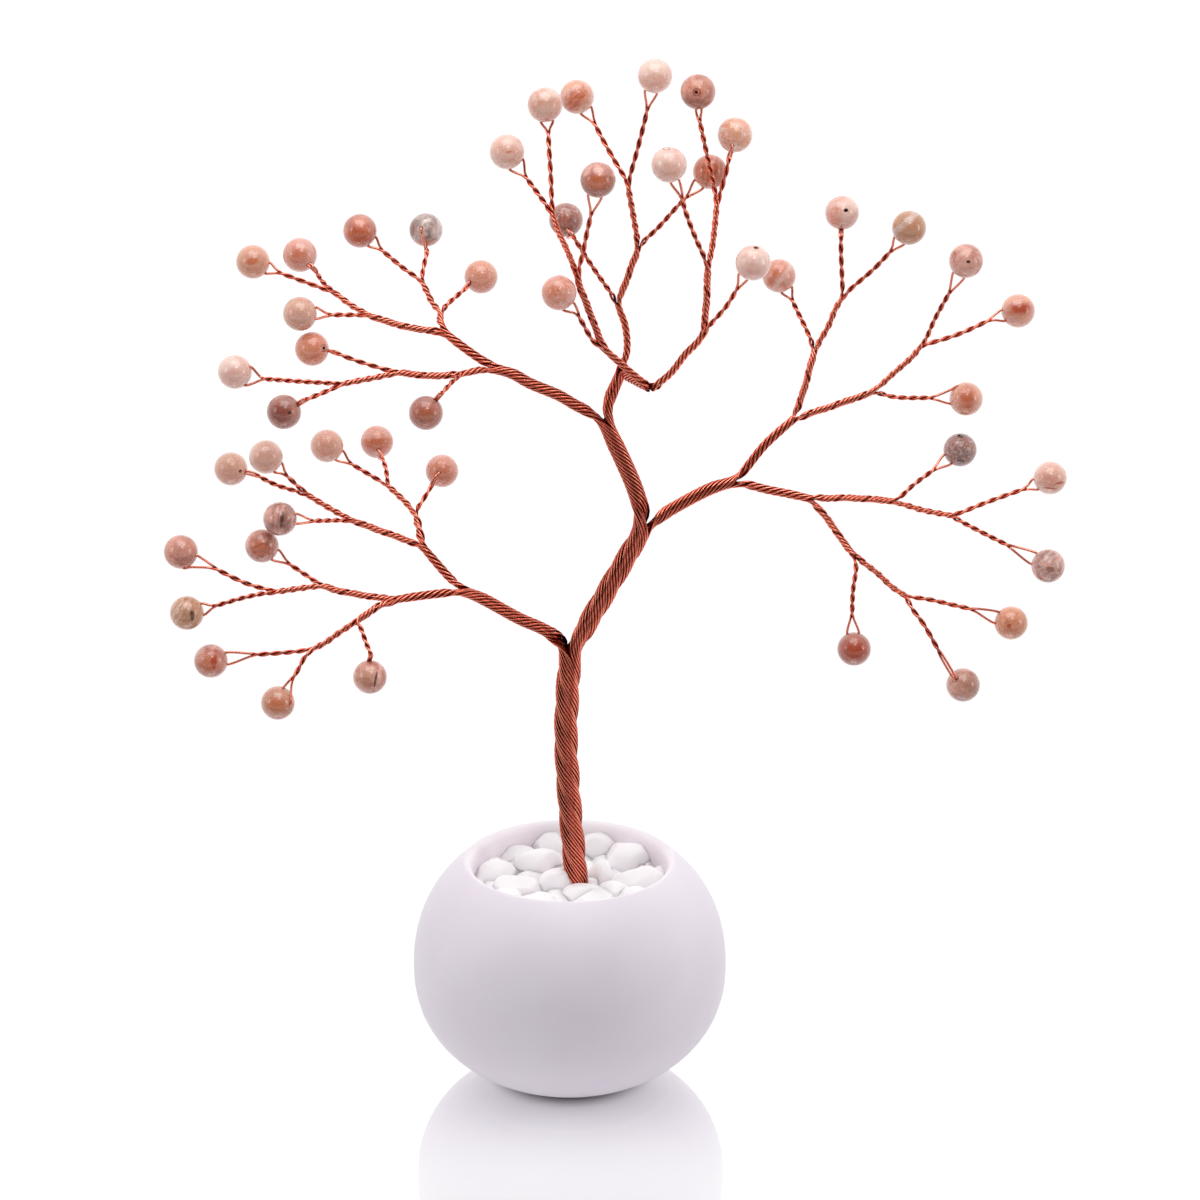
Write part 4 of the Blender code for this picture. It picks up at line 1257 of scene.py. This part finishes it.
def stone(number, centre):
    """A polished stone bead with its own clouds and its own marks; on beads 12, 14, 19 and 31 one dark dot is
    painted shade in an open hole.
    """
    main, clouds, *marks = BEAD_LOOKS[number]
    finish = Finish(f"stone_{number:02d}")
    level = Vector((1, 0, 0))
    rise = level.cross(centre - EYE).normalized()
    seen_way = Matrix((level, rise.cross(level), rise)).transposed().to_euler()
    values = {"Vector": finish.place, "Location": centre, "Rotation": seen_way, "Scale": (BEAD_RADIUS,) * 3}
    seen = finish.place.node("ShaderNodeMapping", {"vector_type": "TEXTURE"}, values)
    shift = (3.7 * number, 1.9 * number, 0)
    own = seen.node("ShaderNodeVectorMath", {"operation": "ADD"}, {0: seen, 1: shift})
    cloud = own.noise(1.3, 5.0, 0.55, 0.6).eased(0.4, 0.64)
    fine = own.noise(7.0, 4.0, 0.6)
    ragged = own.noise(2.6, 4.0, 0.6) - 0.5
    colour = mixed(linear(TONES[main], STONE_DEPTH), linear(TONES[clouds], STONE_DEPTH), cloud)
    for kind, tone, right, up, length, width, lean in marks:
        inside = mark_on(seen, ragged, kind, (right, up), (length, width), lean)
        colour = mixed(colour, linear(TONES[tone], STONE_DEPTH), inside * STRENGTHS[kind])
    finish.vary("Base Color", colour)
    finish.vary("Roughness", fine.eased(0.3, 0.7, 0.22, 0.32))
    finish.set(Coat_Weight=0.8, Coat_Roughness=0.2)
    finish.set(Subsurface_Weight=0.3, Subsurface_Radius=(1.0, 0.75, 0.65), Subsurface_Scale=0.0014)
    return finish.material


# The floor's own light, which the shine adds to, and the painted shadow, a dark ring where the pot stands
FLOOR_GLOW = 1.04
SHADE_FROM = 0.015
SHADE_TO = 0.0226
FLOOR_MIDDLE = 0.6
# Each of these goes from the first distance behind the pot to the second, and from the third value to the
# fourth: how much the floor mirrors, and its glow near the pot and far in front, where it isn't seen
MIRRORS = (-0.06, -0.012, 0.3, 0.8)
GLOW_NEAR = (-0.14, -0.08, 0.1, 1.0)
GLOW_FAR = (-0.2, -0.42, 0.0, 1.0)
# The same for the light of the world from front to back, and from level to overhead
WORLD_BEHIND = (-0.66, 0.22, 0.07, 1.05)
WORLD_ABOVE = (0.35, 1.0, 0.0, 0.6)
# Soft boxes: place, what they are aimed at, breadth, height and power
SOFT_BOXES = {
    "box_overhead": ((0.0, -0.16, 0.8), (0, 0, 0.12), 0.6, 0.42, 2.2),
    "box_in_front": ((0.12, -0.5, 0.72), (0, 0, 0.15), 0.16, 0.12, 0.55),
    "box_on_the_right": ((0.72, -0.3, 0.3), (0, 0, 0.17), 0.14, 0.3, 0.6),
    "box_on_the_left": ((-0.7, -0.35, 0.4), (0, 0, 0.12), 0.2, 0.3, 0.6),
}


def make_floor():
    """A pale glossy floor, white in the picture, that mirrors the pot and has a painted shadow where the pot
    stands.
    """
    deselect()
    bpy.ops.mesh.primitive_plane_add(size=6, location=(0, FLOOR_MIDDLE, -0.0001))
    floor = made("floor")
    material = bpy.data.materials.new("glossy_floor")
    material.use_nodes = True
    tree = material.node_tree
    place = Value.made_by(tree, "ShaderNodeTexCoord", {}, {}, "Object")
    middle = place.node("ShaderNodeVectorMath", {"operation": "ADD"}, {0: place, 1: (0, FLOOR_MIDDLE, 0)})
    right, away, _ = middle.parts()
    share = away.eased(*MIRRORS)
    unseen = away.eased(*GLOW_NEAR).greater(away.eased(*GLOW_FAR))
    # Painted shadow: the floor's glow fades to dark round the pot's foot
    glow = (FLOOR_GLOW - share) * (right * right + away * away).root().eased(SHADE_FROM, SHADE_TO) * unseen
    lit = Value.made_by(tree, "ShaderNodeEmission", {}, {"Color": (0.985, 0.975, 1, 1), "Strength": glow})
    mirror = Value.made_by(tree, "ShaderNodeBsdfGlossy", {}, {"Color": (1, 0.99, 1, 1), "Roughness": 0.04})
    blend = Value.made_by(tree, "ShaderNodeAddShader", {}, {0: lit, 1: dimmed(tree, mirror, share)})
    tree.links.new(blend.socket, tree.nodes["Material Output"].inputs[0])
    floor.data.materials.append(material)


def dimmed(tree, shader, share):
    """A shader with only a share of its light."""
    black = Value.made_by(tree, "ShaderNodeBsdfDiffuse", {}, {"Color": (0, 0, 0, 1)})
    return Value.made_by(tree, "ShaderNodeMixShader", {}, {0: share, 1: black, 2: shader})


def soft_box(name, place, aim, width, height, power):
    light = bpy.data.lights.new(name, "AREA")
    light.shape = "RECTANGLE"
    light.size = width
    light.size_y = height
    light.energy = power
    thing = bpy.data.objects.new(name, light)
    thing.location = place
    thing.rotation_mode = "QUATERNION"
    thing.rotation_quaternion = (Vector(place) - Vector(aim)).to_track_quat("Z", "Y")
    bpy.context.scene.collection.objects.link(thing)


def make_light():
    """White behind, at the sides and above, dark in front, with the soft boxes round the tree."""
    world = bpy.data.worlds.new("studio")
    bpy.context.scene.world = world
    world.use_nodes = True
    tree = world.node_tree
    way = Value.made_by(tree, "ShaderNodeTexCoord", {}, {}, "Generated")
    _, away, up = way.parts()
    strength = away.eased(*WORLD_BEHIND).greater(up.eased(*WORLD_ABOVE))
    tree.links.new(strength.socket, tree.nodes["Background"].inputs["Strength"])
    tree.nodes["Background"].inputs["Color"].default_value = (1, 1, 1, 1)
    for name, box in SOFT_BOXES.items():
        soft_box(name, *box)


def make_camera():
    camera = bpy.data.cameras.new("camera")
    camera.sensor_width = SENSOR_MM
    camera.lens = SENSOR_MM * LENS / PICTURE_SIZE
    camera.clip_start = 0.01
    camera.clip_end = 50
    thing = bpy.data.objects.new("camera", camera)
    thing.location = EYE
    thing.rotation_euler = (math.pi / 2 - LOOK_DOWN, 0, 0)
    bpy.context.scene.collection.objects.link(thing)
    bpy.context.scene.camera = thing


def main():
    make_camera()
    make_floor()
    make_light()
    make_beads()
    make_pot(ceramic())
    make_pebbles(marble())
    make_wires(copper())
    bpy.context.scene.view_settings.view_transform = "Standard"
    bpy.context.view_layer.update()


main()
